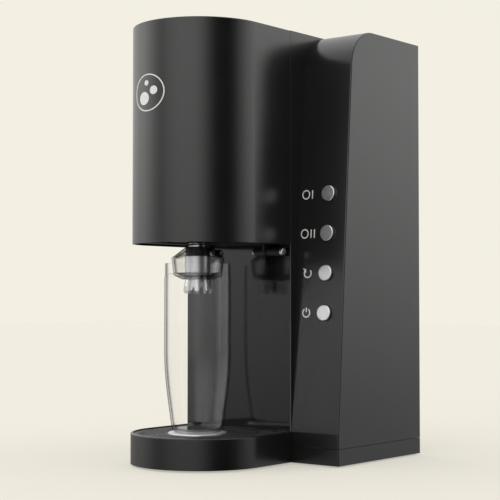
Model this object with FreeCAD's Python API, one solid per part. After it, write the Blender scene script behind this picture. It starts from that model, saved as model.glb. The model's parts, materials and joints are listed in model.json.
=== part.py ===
"""Soda carbonator: a table-top machine with a round head over a bottle bay and a gas tower behind.

Every piece is drawn about the vertical axis of the round head, floor at z = 0, +X to the machine's
right, +Y to its back. Each piece is moved to the row frame (middle of the footprint) as it is written.
"""
import FreeCAD, Part
import math
import os

from FreeCAD import Placement, Rotation, Vector

# ---------------------------------------------------------------- driving dimensions, mm
TOTAL_HEIGHT = 430.0
HEAD_RADIUS = 68.0
HEAD_BOTTOM = 216.5
SEAM_Y = 57.0              # where the head cover meets the tower
TOWER_RIGHT = 124.7
TOWER_REAR = 206.9
LEAN_DEPTH = 26.6          # how far the right front face leans back by the top
LEAN_START = 31.9          # height where that face starts to lean
TOP_ROUND = 38.0           # rounding of its top front corner
PLINTH_TOP = 17.5
WALL = 2.5
EDGE_ROUND = 1.2
PANEL_THICKNESS = 2.6

SEAM_GAP = 0.4             # every visible parting line
RUNNING = 0.05             # radial clearance of a running fit
FIT = 0.02                 # radial clearance of a fixed fit
REST_GAP = 0.05            # between faces that rest on each other
PLATE_GAP = 0.2            # round the base plate
FRAME_GAP = 0.3            # round the door, the tray grille and the drip disc

FOOT_HEIGHT = 1.5          # how far the rubber feet stand out
FOOT_RADIUS = 9.0
FOOT_SEAT = 2.0            # depth of the seat that holds a foot, and its wall
FRONT_FOOT_X = 34.0
FRONT_FOOT_Y = -22.0
REAR_FOOT_INSET = 16.0
BASE_PLATE_THICKNESS = 2.0
SCREW_INSET = 8.0
SCREW_RADIUS = 1.5
SCREW_HEAD = 0.9
SCREW_LENGTH = 7.0
SCREW_SLOT = 0.5

INLET_X = 70.0             # power inlet at the back
INLET_Z = 9.8
INLET_RADIUS = 4.2
INLET_BORE = 3.0
INLET_PIN = 1.0
INLET_DEPTH = 11.0

TRAY_PROUD = 1.3           # how far the tray stands out round the head
TRAY_RIM = 31.9
TRAY_FLOOR = 8.0
TRAY_FLOOR_THICKNESS = 2.0
TRAY_WALL = 2.4
TONGUE_GAP = 0.9           # round the base tongue that the tray slides over
TONGUE_WALL = 3.6
LEDGE = 2.2
GRILLE_THICKNESS = 2.6
GRILLE_SINK = 1.2
SLOT_WIDTH = 3.2
SLOT_PITCH = 7.2
SLOT_BAR = 19.0            # half the middle slot's length
DISC_RADIUS = 28.8
DISC_THICKNESS = 2.4
DISC_HOLE = 1.5
DISC_RING_PITCH = 7.0

BOTTLE_Y = -5.4            # bottle and nozzle axis
BOTTLE_LIFT = 0.8          # the bottle hangs this far above the disc
BOTTLE_HEIGHT = 164.8
BOTTLE_RADIUS = 32.9
BOTTLE_RIM_STEP = 0.6
BOTTLE_RIM_HEIGHT = 12.9
BOTTLE_FOOT_RADIUS = 25.4
BOTTLE_TAPER = 78.0        # height over which the foot widens to the full radius
BOTTLE_WALL = 1.9
BOTTLE_FLOOR = 3.0

NOZZLE_RISE = 9.5          # nozzle heights, measured from the underside of the head
COLLAR_DROP = 2.5
COLLAR_HEIGHT = 9.5
COLLAR_RADIUS = 12.0
NECK_RADIUS = 10.0
NECK_STEP = 3.0
SHOULDER_DROP = 13.5
HOOD_RADIUS = 26.3
HOOD_HEIGHT = 17.0
HOOD_TAPER = 2.0
HOOD_WALL = 2.4
HOOD_FACETS = 16
CORE_RADIUS = 12.7
CORE_GROOVE = 0.4
CROWN_RADIUS = 14.0
CROWN_DROP = 4.3           # top of the crown below the hood's flank
CROWN_HEIGHT = 13.9
CROWN_TEETH = 8
CROWN_NOTCH = 3.4
NOZZLE_BORE = 3.0
INJECTOR_RADIUS = 2.0
INJECTOR_BORE = 0.8
NUT_RADIUS = 6.5
NUT_HEIGHT = 4.0

HINGE_SETBACK = 7.0        # hinge axis in front of the seam and below the head
HINGE_PIN_RADIUS = 2.0
HINGE_BARREL_RADIUS = 4.0
HINGE_INNER_X = 27.0
HINGE_OUTER_X = 65.0
HINGE_CAP = 3.9
EAR_X = 42.5
EAR_THICKNESS = 3.0
EAR_GAP = 0.4
YOKE_RISE = 3.5
YOKE_THICKNESS = 4.5
YOKE_HALF_WIDTH = 44.0
YOKE_FRONT = 36.0
YOKE_NOSE = 16.0
YOKE_CORNER = 14.0
HEAD_FLOOR_RISE = 2.0
HEAD_FLOOR_THICKNESS = 2.2

BUTTON_RADIUS = 7.9
BUTTON_PROUD = 3.0
BUTTON_INSET = 21.2        # button axis from the tower's right side
BUTTON_TOP_Z = 266.4
BUTTON_PITCH = 39.2
BUTTON_NAMES = ("level_one", "level_two", "reset", "power")
BUTTON_GAP = 0.25
BUTTON_SKIRT = 2.0
BUTTON_EDGE = 0.9
FLANGE_PROUD = 1.2
FLANGE_THICKNESS = 1.6
STEM_RADIUS = 3.0
STEM_DEPTH = 13.0
GUIDE_HALF = 15.0
GUIDE_DEPTH = 8.5
GUIDE_THICKNESS = 2.5
GUIDE_MARGIN = 16.0
BOARD_DEPTH = 17.5
BOARD_THICKNESS = 1.6
SWITCH_SIZE = 7.0
SWITCH_HEIGHT = 2.2
NUB_RADIUS = 1.7
NUB_HEIGHT = 0.7

CYLINDER_INSET_X = 46.7    # gas cylinder's axis from the tower's right side and back
CYLINDER_INSET_Y = 48.9
CYLINDER_RADIUS = 30.0
CYLINDER_BOTTOM = 20.5
CYLINDER_WALL = 3.5
CYLINDER_SHOULDER = 330.0
DOME_HEIGHT = 22.0
NECK_TOP = 366.0
GAS_NECK_RADIUS = 12.3
GAS_BORE_RADIUS = 8.0
HOLDER_GAP = 0.4
HOLDER_WALL = 2.4
CUP_HEIGHT = 11.0
CLIP_HEIGHT = 14.0
CLIP_MOUTH = 26.0
POST_SIZE = 9.0
POST_DEPTH = 16.0
POST_WALL = 1.5
POST_GAP = 3.2
SHELF_HALF = 30.0
SHELF_RISE = 0.5
SHELF_THICKNESS = 2.5
BLOCK_HEIGHT = 17.5
BLOCK_WIDTH = 36.0
VALVE_HEIGHT = 10.5
PIN_RADIUS = 1.5
PLUNGER_RADIUS = 3.0
PLUNGER_HEAD = 6.0
PLUNGER_HEAD_THICKNESS = 2.5
PLUNGER_DEPTH = 2.0
SPRING_RADIUS = 4.6
SPRING_WIRE = 0.5
SPRING_TURNS = 5
SPRING_GAP = 0.7
FITTING_RADIUS = 4.5
FITTING_LENGTH = 9.0
BARB_RADIUS = 2.6
BARB_LENGTH = 4.0

CAM_HEIGHT = 25.95         # cam axis above the valve block
CAM_RISE = 3.0
CAM_RADIUS = 8.0
CAM_SWEEP = 270.0
CAM_DWELL = 5.0
CAM_RETURN = 40.0
CAM_WIDTH = 6.0
CAM_GAP = 0.15
CAM_SHAFT_RADIUS = 3.0
CAM_FRAME_HALF = 12.0
CAM_FRAME_SHEET = 2.0
CAM_FRAME_LEFT = 13.0
CAM_FRAME_RIGHT = 11.0
GEAR_MODULE = 0.7
GEAR_TEETH = 30
PINION_TEETH = 10
PRESSURE_ANGLE = math.radians(20)
GEAR_BACKLASH = 0.15
GEAR_OFFSET = 16.0
GEAR_WIDTH = 4.0
MESH_GAP = 0.08
MOTOR_RADIUS = 10.0
MOTOR_LENGTH = 20.0
MOTOR_BORE = 9.0
MOTOR_PLATE = 1.6

DOOR_INSET_LEFT = 8.3
DOOR_INSET_RIGHT = 7.7
DOOR_INSET_TOP = 8.0
DOOR_BOTTOM = 25.0
DOOR_BEAD = 3.0
DOOR_PIN_RADIUS = 1.25
DOOR_PIN_REACH = 4.0
LUG_HALF = 4.0
LUG_LOW = 7.0
LUG_HIGH = 5.6
PULL_RADIUS = 11.0
PULL_DEPTH = 1.2
PULL_INSET = 12.0
PULL_LOW = 220.0
PULL_HIGH = 250.0
VENT_ROWS = 8
VENT_Z = 50.0
VENT_PITCH = 8.0
VENT_WIDTH = 3.0
VENT_LEFT = -24.0
VENT_RIGHT = 84.0
STRIKE_Z = 330.0
STRIKE_HALF = 14.0
STRIKE_WIDTH = 10.0
STRIKE_THICKNESS = 1.5
MAGNET_DEPTH = 7.7

HOSE_RADIUS = 3.0
WINDOW_HALF = 40.0         # opening in the column's front wall behind the head
WINDOW_LOW = 11.5
WINDOW_HIGH = 183.5
MANIFOLD_RISE = 89.5
MANIFOLD_HALF = 8.0
MANIFOLD_ARM = 48.0
MAIN_BOARD_Y = (92.0, 180.0)
MAIN_BOARD_Z = (60.0, 190.0)
MAIN_BOARD_GAP = 6.0
BOSS_RADIUS = 2.5
BOSS_INSET = 5.0

# ---------------------------------------------------------------- derived places
LEAN_ANGLE = math.atan2(LEAN_DEPTH, TOTAL_HEIGHT - LEAN_START)
FACE_UP = Vector(0, math.sin(LEAN_ANGLE), math.cos(LEAN_ANGLE))
FACE_OUT = Vector(0, -math.cos(LEAN_ANGLE), math.sin(LEAN_ANGLE))
X_AXIS = Vector(1, 0, 0)
Y_AXIS = Vector(0, 1, 0)
Z_AXIS = Vector(0, 0, 1)

TRAY_RADIUS = HEAD_RADIUS + TRAY_PROUD
TRAY_BACK = SEAM_Y - SEAM_GAP
ORIGIN_X = (TOWER_RIGHT - TRAY_RADIUS) / 2
ORIGIN_Y = (TOWER_REAR - TRAY_RADIUS) / 2
PANEL_BACK = SEAM_Y + PANEL_THICKNESS
COLUMN_FRONT = PANEL_BACK + SEAM_GAP / 2
COLUMN_INSIDE = COLUMN_FRONT + WALL
TOWER_BOTTOM = PLINTH_TOP + SEAM_GAP
INNER_REAR = TOWER_REAR - WALL
INNER_LEFT = -HEAD_RADIUS + WALL
INNER_RIGHT = TOWER_RIGHT - WALL

PLATE_X0 = INNER_LEFT + PLATE_GAP
PLATE_X1 = INNER_RIGHT - PLATE_GAP
PLATE_Y0 = SEAM_Y + WALL + PLATE_GAP
PLATE_Y1 = INNER_REAR - PLATE_GAP
PLATE_TOP = FOOT_HEIGHT + BASE_PLATE_THICKNESS
REAR_FEET = tuple(
    (x, PLATE_Y1 - REAR_FOOT_INSET)
    for x in (PLATE_X0 + REAR_FOOT_INSET, PLATE_X1 - REAR_FOOT_INSET))
FRONT_FEET = ((-FRONT_FOOT_X, FRONT_FOOT_Y), (FRONT_FOOT_X, FRONT_FOOT_Y))
SCREW_ROWS = (PLATE_Y0 + SCREW_INSET, (PLATE_Y0 + PLATE_Y1) / 2)
PLATE_SCREWS = [(x, y) for x in (PLATE_X0 + SCREW_INSET, PLATE_X1 - SCREW_INSET) for y in SCREW_ROWS]

BOTTLE_BOTTOM = TRAY_RIM + BOTTLE_LIFT
BOTTLE_TOP = BOTTLE_BOTTOM + BOTTLE_HEIGHT
NOZZLE_TOP = HEAD_BOTTOM + NOZZLE_RISE
COLLAR_TOP = HEAD_BOTTOM - COLLAR_DROP
COLLAR_BOTTOM = COLLAR_TOP - COLLAR_HEIGHT - REST_GAP
HOOD_SHOULDER = HEAD_BOTTOM - SHOULDER_DROP
HOOD_BOTTOM = HOOD_SHOULDER - HOOD_HEIGHT
CROWN_TOP = HOOD_BOTTOM - CROWN_DROP
CROWN_BOTTOM = CROWN_TOP - CROWN_HEIGHT
HINGE_Y = SEAM_Y - HINGE_SETBACK
HINGE_Z = HEAD_BOTTOM - HINGE_SETBACK
YOKE_BOTTOM = HEAD_BOTTOM + YOKE_RISE

BUTTON_X = TOWER_RIGHT - BUTTON_INSET
CYLINDER_X = TOWER_RIGHT - CYLINDER_INSET_X
CYLINDER_Y = TOWER_REAR - CYLINDER_INSET_Y
SHELF_Z = NECK_TOP + SHELF_RISE
BLOCK_LOW = SHELF_Z + SHELF_THICKNESS + REST_GAP
BLOCK_TOP = BLOCK_LOW + BLOCK_HEIGHT
BLOCK_PORT_Z = BLOCK_LOW + FITTING_LENGTH
VALVE_TOP = BLOCK_LOW + VALVE_HEIGHT
CAM_Z = BLOCK_TOP + CAM_HEIGHT
PLUNGER_TOP = CAM_Z - CAM_RADIUS - CAM_GAP
SIDE_PLATES = (CYLINDER_X - CAM_FRAME_LEFT, CYLINDER_X + CAM_FRAME_RIGHT)
GEAR_X = CYLINDER_X + GEAR_OFFSET
GEAR_DISTANCE = GEAR_MODULE * (GEAR_TEETH + PINION_TEETH) / 2 + MESH_GAP
MOTOR_Y = CYLINDER_Y - GEAR_DISTANCE
MOTOR_FACE = GEAR_X + GEAR_WIDTH + MOTOR_PLATE + 1.2

DOOR_LEFT = -HEAD_RADIUS + DOOR_INSET_LEFT
DOOR_RIGHT = TOWER_RIGHT - DOOR_INSET_RIGHT
DOOR_TOP = TOTAL_HEIGHT - DOOR_INSET_TOP
DOOR_PIN_X = DOOR_LEFT + DOOR_BEAD
DOOR_PIN_Y = TOWER_REAR - DOOR_BEAD
MANIFOLD = (0.0, HINGE_Y, HEAD_BOTTOM + MANIFOLD_RISE)
HOSE_START = (CYLINDER_X - BLOCK_WIDTH / 2 - 6, CYLINDER_Y, BLOCK_PORT_Z)
MAIN_BOARD_X = INNER_LEFT + MAIN_BOARD_GAP


# ---------------------------------------------------------------- helpers
def write(name, shape):
    """Move a piece to the row frame and write it."""
    moved = shape.copy()
    moved.translate(Vector(-ORIGIN_X, -ORIGIN_Y, 0))
    moved.exportStep("parts/" + name + ".step")


def box(x0, x1, y0, y1, z0, z1):
    return Part.makeBox(x1 - x0, y1 - y0, z1 - z0, Vector(x0, y0, z0))


def rod(radius, start, end):
    """Cylinder between two points."""
    along = Vector(*end) - Vector(*start)
    return Part.makeCylinder(radius, along.Length, Vector(*start), along)


def drum(radius, z0, z1, x=0.0, y=0.0):
    return Part.makeCylinder(radius, z1 - z0, Vector(x, y, z0))


def tube(outer, inner, z0, z1, x=0.0, y=0.0):
    return drum(outer, z0, z1, x, y).cut(drum(inner, z0 - 1, z1 + 1, x, y))


def rounded_wire(points, radii, closed):
    """Straight runs joined by tangent arcs; a radius of 0 keeps a corner sharp."""
    spots = [Vector(*p) for p in points]
    count = len(spots)
    starts = []
    ends = []
    middles = []
    for i, spot in enumerate(spots):
        radius = radii[i]
        if not closed and i in (0, count - 1):
            radius = 0
        if radius == 0:
            starts.append(spot)
            ends.append(spot)
            middles.append(None)
            continue
        back = (spots[i - 1] - spot).normalize()
        ahead = (spots[(i + 1) % count] - spot).normalize()
        half = back.getAngle(ahead) / 2
        reach = radius / math.tan(half)
        inward = (back + ahead).normalize()
        starts.append(spot + back * reach)
        ends.append(spot + ahead * reach)
        middles.append(spot + inward * (radius / math.sin(half) - radius))
    edges = []
    for i in range(count):
        if middles[i] is not None:
            edges.append(Part.Arc(starts[i], middles[i], ends[i]).toShape())
        if closed or i < count - 1:
            following = starts[(i + 1) % count]
            if (following - ends[i]).Length > 1e-6:
                edges.append(Part.LineSegment(ends[i], following).toShape())
    return Part.Wire(edges)


def prism(points, radii, along):
    return Part.Face(rounded_wire(points, radii, True)).extrude(along)


def spun(profile, x=0.0, y=0.0):
    """Solid of revolution from (radius, height) corners about a vertical axis."""
    corners = [Vector(r, 0, z) for r, z in profile]
    face = Part.Face(Part.makePolygon(corners + [corners[0]]))
    solid = face.revolve(Vector(0, 0, 0), Z_AXIS, 360)
    solid.translate(Vector(x, y, 0))
    return solid


def u_block(radius, back, z0, z1):
    """Plan of a half round front with straight flanks running back."""
    left = Vector(-radius, 0, z0)
    front = Vector(0, -radius, z0)
    right = Vector(radius, 0, z0)
    edges = [
        Part.Arc(left, front, right).toShape(),
        Part.makeLine(right, Vector(radius, back, z0)),
        Part.makeLine(Vector(radius, back, z0), Vector(-radius, back, z0)),
        Part.makeLine(Vector(-radius, back, z0), left),
    ]
    return Part.Face(Part.Wire(edges)).extrude(Vector(0, 0, z1 - z0))


def hose(points, radius):
    """Round tube along straight runs with arcs as wide as the runs allow."""
    spots = [Vector(*p) for p in points]
    radii = [0.0] * len(spots)
    for i in range(1, len(spots) - 1):
        before = spots[i] - spots[i - 1]
        after = spots[i + 1] - spots[i]
        turn = before.getAngle(after)
        shorter = min(before.Length, after.Length)
        radii[i] = 0.45 * shorter / math.tan(turn / 2)
    path = rounded_wire(points, radii, False)
    start = spots[0]
    ring = Part.Wire(Part.makeCircle(radius, start, spots[1] - start))
    return path.makePipeShell([ring], True, False)


def lean_y(z):
    """Y of the leaning front face at a height."""
    return SEAM_Y + max(0.0, z - LEAN_START) * math.tan(LEAN_ANGLE)


def on_face(shape, x, z):
    """Place a piece drawn with +Z outward so that it stands on the leaning face."""
    placed = shape.copy()
    turn = Rotation(X_AXIS, FACE_UP, FACE_OUT, "ZXY")
    placed.Placement = Placement(Vector(x, lean_y(z), z), turn)
    return placed


def side_block(inset, x0, x1, bottom):
    """Right part of the tower: its front leans back and rounds into the top."""
    sine = math.sin(LEAN_ANGLE)
    cosine = math.cos(LEAN_ANGLE)
    line_y = SEAM_Y + inset * cosine
    line_z = LEAN_START - inset * sine
    front = SEAM_Y + inset
    top = TOTAL_HEIGHT - inset
    rear = TOWER_REAR - inset
    knee_z = line_z + (front - line_y) / math.tan(LEAN_ANGLE)
    top_y = line_y + (top - line_z) * math.tan(LEAN_ANGLE)
    outline = [(front, bottom), (front, knee_z), (top_y, top), (rear, top), (rear, bottom)]
    points = [(x0, y, z) for y, z in outline]
    radii = [0, 0, TOP_ROUND - inset, 0, 0]
    return prism(points, radii, Vector(x1 - x0, 0, 0))


def involute_gear(teeth, width, bore):
    """Spur gear on the X axis, one tooth pointing to +Y, from x = 0 to its width."""
    pitch = GEAR_MODULE * teeth / 2
    base = pitch * math.cos(PRESSURE_ANGLE)
    tip = pitch + GEAR_MODULE * 0.9
    root = pitch - GEAR_MODULE * 1.25
    lean = math.tan(PRESSURE_ANGLE) - PRESSURE_ANGLE
    half = math.pi / (2 * teeth) - GEAR_BACKLASH / (2 * pitch)
    points = []
    steps = 5
    for tooth in range(teeth):
        middle = 2 * math.pi * tooth / teeth
        flank = []
        low = max(base, root)
        for step in range(steps):
            radius = low + (tip - low) * step / (steps - 1)
            roll = math.sqrt(max(0.0, (radius / base) ** 2 - 1))
            flank.append((radius, half + lean - (roll - math.atan(roll))))
        below = (root, flank[0][1] + 0.02)
        whole = [(r, -a) for r, a in [below] + flank] + [(r, a) for r, a in reversed([below] + flank)]
        for radius, angle in whole:
            turn = middle + angle
            points.append(Vector(0, radius * math.cos(turn), radius * math.sin(turn)))
    face = Part.Face(Part.makePolygon(points + [points[0]]))
    gear = face.extrude(Vector(width, 0, 0))
    return gear.cut(rod(bore, (-1, 0, 0), (width + 1, 0, 0)))


# ---------------------------------------------------------------- base
def base_shell():
    outer = box(-HEAD_RADIUS, TOWER_RIGHT, SEAM_Y, TOWER_REAR, FOOT_HEIGHT, PLINTH_TOP)
    upright = [e for e in outer.Edges if e.BoundBox.ZLength > 1 and e.BoundBox.XMax > 0]
    outer = outer.makeFillet(EDGE_ROUND, upright)
    inner = box(INNER_LEFT, INNER_RIGHT, SEAM_Y + WALL, INNER_REAR, FOOT_HEIGHT - 1, PLINTH_TOP - WALL)
    edge = TRAY_RADIUS - TRAY_WALL - TONGUE_GAP
    tongue = u_block(edge, SEAM_Y + 1, FOOT_HEIGHT, TRAY_FLOOR - TONGUE_GAP)
    hollow = u_block(edge - TONGUE_WALL, SEAM_Y - 5, FOOT_HEIGHT - 1, TRAY_FLOOR - TONGUE_GAP - WALL)
    shell = outer.cut(inner).fuse(tongue.cut(hollow))
    for x, y in FRONT_FEET:
        shell = shell.fuse(drum(FOOT_RADIUS + FOOT_SEAT, FOOT_HEIGHT, TRAY_FLOOR - TONGUE_GAP - 1, x, y))
        shell = shell.cut(drum(FOOT_RADIUS, FOOT_HEIGHT - 1, FOOT_HEIGHT + FOOT_SEAT, x, y))
    inlet = rod(INLET_RADIUS + PLATE_GAP,
                (INLET_X, INNER_REAR - 1, INLET_Z), (INLET_X, TOWER_REAR + 1, INLET_Z))
    return shell.cut(inlet).removeSplitter()


def base_plate():
    plate = box(PLATE_X0, PLATE_X1, PLATE_Y0, PLATE_Y1, FOOT_HEIGHT, PLATE_TOP)
    for x, y in REAR_FEET:
        plate = plate.fuse(drum(FOOT_RADIUS + FOOT_SEAT, FOOT_HEIGHT, FOOT_HEIGHT + FOOT_SEAT + 1.5, x, y))
        plate = plate.cut(drum(FOOT_RADIUS, FOOT_HEIGHT - 1, FOOT_HEIGHT + FOOT_SEAT, x, y))
    for x, y in PLATE_SCREWS:
        plate = plate.cut(drum(SCREW_RADIUS + RUNNING, 0, PLATE_TOP + 1, x, y))
        plate = plate.cut(drum(2 * SCREW_RADIUS + RUNNING, 0, FOOT_HEIGHT + SCREW_HEAD + RUNNING, x, y))
    return plate


def foot(x, y):
    pad = drum(FOOT_RADIUS - 2 * RUNNING, 0, FOOT_HEIGHT + FOOT_SEAT, x, y)
    return pad.makeChamfer(0.4, [e for e in pad.Edges if e.BoundBox.ZMax < 0.1])


def plate_screw(x, y):
    """Slotted flat head let into the plate's underside, shank upwards."""
    low = FOOT_HEIGHT
    shank_low = low + SCREW_HEAD
    head = drum(2 * SCREW_RADIUS, low, shank_low, x, y)
    shank = drum(SCREW_RADIUS, shank_low, low + SCREW_LENGTH, x, y)
    slot = box(x - SCREW_RADIUS, x + SCREW_RADIUS, y - SCREW_SLOT / 2, y + SCREW_SLOT / 2,
               low - 1, low + SCREW_SLOT)
    return head.fuse(shank).cut(slot)


def dc_inlet():
    """Round socket with a middle pin, on a block behind the base's rear wall."""
    mouth = (INLET_X, TOWER_REAR - FRAME_GAP, INLET_Z)
    deep = (INLET_X, INNER_REAR - INLET_DEPTH + WALL, INLET_Z)
    half = INLET_DEPTH / 2
    body = box(INLET_X - half, INLET_X + half, INNER_REAR - INLET_DEPTH, INNER_REAR, INLET_Z - half + 0.5,
               PLINTH_TOP - WALL - 2 * RUNNING)
    socket = rod(INLET_RADIUS, mouth, (INLET_X, INNER_REAR, INLET_Z)).fuse(body)
    socket = socket.cut(rod(INLET_BORE, deep, (INLET_X, TOWER_REAR + 1, INLET_Z)))
    return socket.fuse(rod(INLET_PIN, deep, (INLET_X, TOWER_REAR - 1.2, INLET_Z)))


# ---------------------------------------------------------------- tower and head covers
def tower_shell():
    column = box(-HEAD_RADIUS, HEAD_RADIUS, SEAM_Y + SEAM_GAP / 2, TOWER_REAR, TOWER_BOTTOM, TOTAL_HEIGHT)
    side = side_block(0.0, HEAD_RADIUS - 8, TOWER_RIGHT, TOWER_BOTTOM)
    rims = [e for e in side.Edges
            if e.BoundBox.XMin > TOWER_RIGHT - 0.01 and e.BoundBox.ZMax > TOWER_BOTTOM + 0.1]
    side = side.makeFillet(EDGE_ROUND, rims)
    seat = box(-HEAD_RADIUS - 1, HEAD_RADIUS + 0.01, 0, COLUMN_FRONT + 0.1,
               TOWER_BOTTOM - 1, HEAD_BOTTOM + 0.2)
    outer = column.fuse(side).cut(seat)
    room = box(INNER_LEFT, -INNER_LEFT, COLUMN_INSIDE, INNER_REAR, TOWER_BOTTOM - 1, TOTAL_HEIGHT - WALL)
    flank = HEAD_RADIUS - WALL
    side_room = side_block(WALL, flank - 1, INNER_RIGHT, TOWER_BOTTOM - 1)
    guard = box(flank - 2, HEAD_RADIUS, 0, COLUMN_INSIDE, 0, TOTAL_HEIGHT + 1)
    shell = outer.cut(room).cut(side_room.cut(guard))
    door_hole = box(DOOR_LEFT - FRAME_GAP, DOOR_RIGHT + FRAME_GAP, INNER_REAR - 1, TOWER_REAR + 1,
                    DOOR_BOTTOM - FRAME_GAP, DOOR_TOP + FRAME_GAP)
    window = box(-WINDOW_HALF, WINDOW_HALF, SEAM_Y - 1, COLUMN_INSIDE + 1, HEAD_BOTTOM + WINDOW_LOW,
                 HEAD_BOTTOM + WINDOW_HIGH)
    shell = shell.cut(door_hole).cut(window)
    lug_spans = ((DOOR_BOTTOM - LUG_LOW, DOOR_BOTTOM - FRAME_GAP), (DOOR_TOP + FRAME_GAP, DOOR_TOP + LUG_HIGH))
    for z0, z1 in lug_spans:
        lug = box(DOOR_PIN_X - LUG_HALF, DOOR_PIN_X + LUG_HALF, DOOR_PIN_Y - LUG_HALF, INNER_REAR, z0, z1)
        shell = shell.fuse(lug)
    shell = shell.cut(door_hinge_pin())
    for index in range(len(BUTTON_NAMES)):
        hole = drum(BUTTON_RADIUS + BUTTON_GAP, -WALL - 2, 2)
        shell = shell.cut(on_face(hole, BUTTON_X, button_height(index)))
    for y, z in board_bosses():
        shell = shell.fuse(rod(BOSS_RADIUS, (INNER_LEFT - 0.5, y, z), (MAIN_BOARD_X, y, z)))
    return shell.removeSplitter()


def board_bosses():
    """Where the main board stands on the left wall, near its corners."""
    rows = (MAIN_BOARD_Y[0] + BOSS_INSET, MAIN_BOARD_Y[1] - BOSS_INSET)
    heights = (MAIN_BOARD_Z[0] + BOSS_INSET, MAIN_BOARD_Z[1] - BOSS_INSET)
    return [(y, z) for y in rows for z in heights]


def column_panel():
    panel = box(-HEAD_RADIUS, HEAD_RADIUS, SEAM_Y, PANEL_BACK, TOWER_BOTTOM, HEAD_BOTTOM)
    upright = [e for e in panel.Edges if e.BoundBox.ZLength > 10 and e.BoundBox.YMax < SEAM_Y + 0.1]
    return panel.makeFillet(0.6, upright)


def head_shell():
    outer = u_block(HEAD_RADIUS, SEAM_Y - SEAM_GAP / 2, HEAD_BOTTOM, TOTAL_HEIGHT)
    rim = [e for e in outer.Edges if e.BoundBox.ZMin > TOTAL_HEIGHT - 0.1 and e.BoundBox.YMin < SEAM_Y - 1]
    outer = outer.makeFillet(EDGE_ROUND, rim)
    inner = u_block(HEAD_RADIUS - WALL, SEAM_Y + 1, HEAD_BOTTOM - 1, TOTAL_HEIGHT - WALL)
    return outer.cut(inner)


def head_floor():
    """Plate under the head, cut out round the swinging carrier."""
    low = HEAD_BOTTOM + HEAD_FLOOR_RISE
    plate = u_block(HEAD_RADIUS - WALL - 2 * RUNNING, SEAM_Y - SEAM_GAP / 2, low, low + HEAD_FLOOR_THICKNESS)
    wide = YOKE_HALF_WIDTH + 3
    front = -YOKE_FRONT - 20
    back = HINGE_Y + 5.5
    outline = [(-wide, front, HEAD_BOTTOM), (wide, front, HEAD_BOTTOM), (wide, back, HEAD_BOTTOM),
               (-wide, back, HEAD_BOTTOM)]
    return plate.cut(prism(outline, [22, 22, 2, 2], Vector(0, 0, 12)))


def rear_door():
    leaf = box(DOOR_PIN_X, DOOR_RIGHT, INNER_REAR, TOWER_REAR, DOOR_BOTTOM, DOOR_TOP)
    leaf = leaf.fuse(drum(DOOR_BEAD, DOOR_BOTTOM, DOOR_TOP, DOOR_PIN_X, DOOR_PIN_Y))
    leaf = leaf.fuse(box(DOOR_PIN_X, DOOR_PIN_X + DOOR_BEAD, DOOR_PIN_Y, TOWER_REAR, DOOR_BOTTOM, DOOR_TOP))
    leaf = leaf.cut(drum(DOOR_PIN_RADIUS + RUNNING, DOOR_BOTTOM - 1, DOOR_TOP + 1, DOOR_PIN_X, DOOR_PIN_Y))
    pull_y = TOWER_REAR + PULL_RADIUS - PULL_DEPTH
    pull_x = DOOR_RIGHT - PULL_INSET
    leaf = leaf.cut(rod(PULL_RADIUS, (pull_x, pull_y, PULL_LOW), (pull_x, pull_y, PULL_HIGH)))
    for row in range(VENT_ROWS):
        z = VENT_Z + row * VENT_PITCH
        leaf = leaf.cut(box(VENT_LEFT, VENT_RIGHT, INNER_REAR - 1, TOWER_REAR + 1, z, z + VENT_WIDTH))
    return leaf.removeSplitter()


def door_strike():
    x = DOOR_RIGHT - 2
    return box(x - STRIKE_WIDTH, x, INNER_REAR - STRIKE_THICKNESS, INNER_REAR, STRIKE_Z - STRIKE_HALF,
               STRIKE_Z + STRIKE_HALF)


def door_magnet():
    front = INNER_REAR - STRIKE_THICKNESS - FRAME_GAP
    return box(DOOR_RIGHT - STRIKE_WIDTH, INNER_RIGHT, front - MAGNET_DEPTH, front, STRIKE_Z - STRIKE_HALF,
               STRIKE_Z + STRIKE_HALF)


def door_hinge_pin():
    return drum(DOOR_PIN_RADIUS, DOOR_BOTTOM - DOOR_PIN_REACH, DOOR_TOP + DOOR_PIN_REACH,
                DOOR_PIN_X, DOOR_PIN_Y)


# ---------------------------------------------------------------- drip tray
def tray_tub():
    outer = u_block(TRAY_RADIUS, TRAY_BACK, FOOT_HEIGHT + FRAME_GAP, TRAY_RIM)
    rim = [e for e in outer.Edges if e.BoundBox.ZMin > TRAY_RIM - 0.1 and e.BoundBox.YMin < TRAY_BACK - 1]
    outer = outer.makeFillet(EDGE_ROUND, rim)
    edge = TRAY_RADIUS - TRAY_WALL
    back = TRAY_BACK - TRAY_WALL
    well = u_block(edge, back, TRAY_FLOOR + TRAY_FLOOR_THICKNESS, TRAY_RIM + 1)
    under = u_block(edge, TRAY_BACK + 5, 0, TRAY_FLOOR)
    tub = outer.cut(well).cut(under)
    ledge_top = TRAY_RIM - GRILLE_SINK - GRILLE_THICKNESS
    ledge = u_block(edge + 0.01, back + 0.01, ledge_top - 2, ledge_top)
    gap = u_block(edge - LEDGE, back - LEDGE, ledge_top - 3, ledge_top + 1)
    return tub.fuse(ledge.cut(gap)).removeSplitter()


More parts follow.
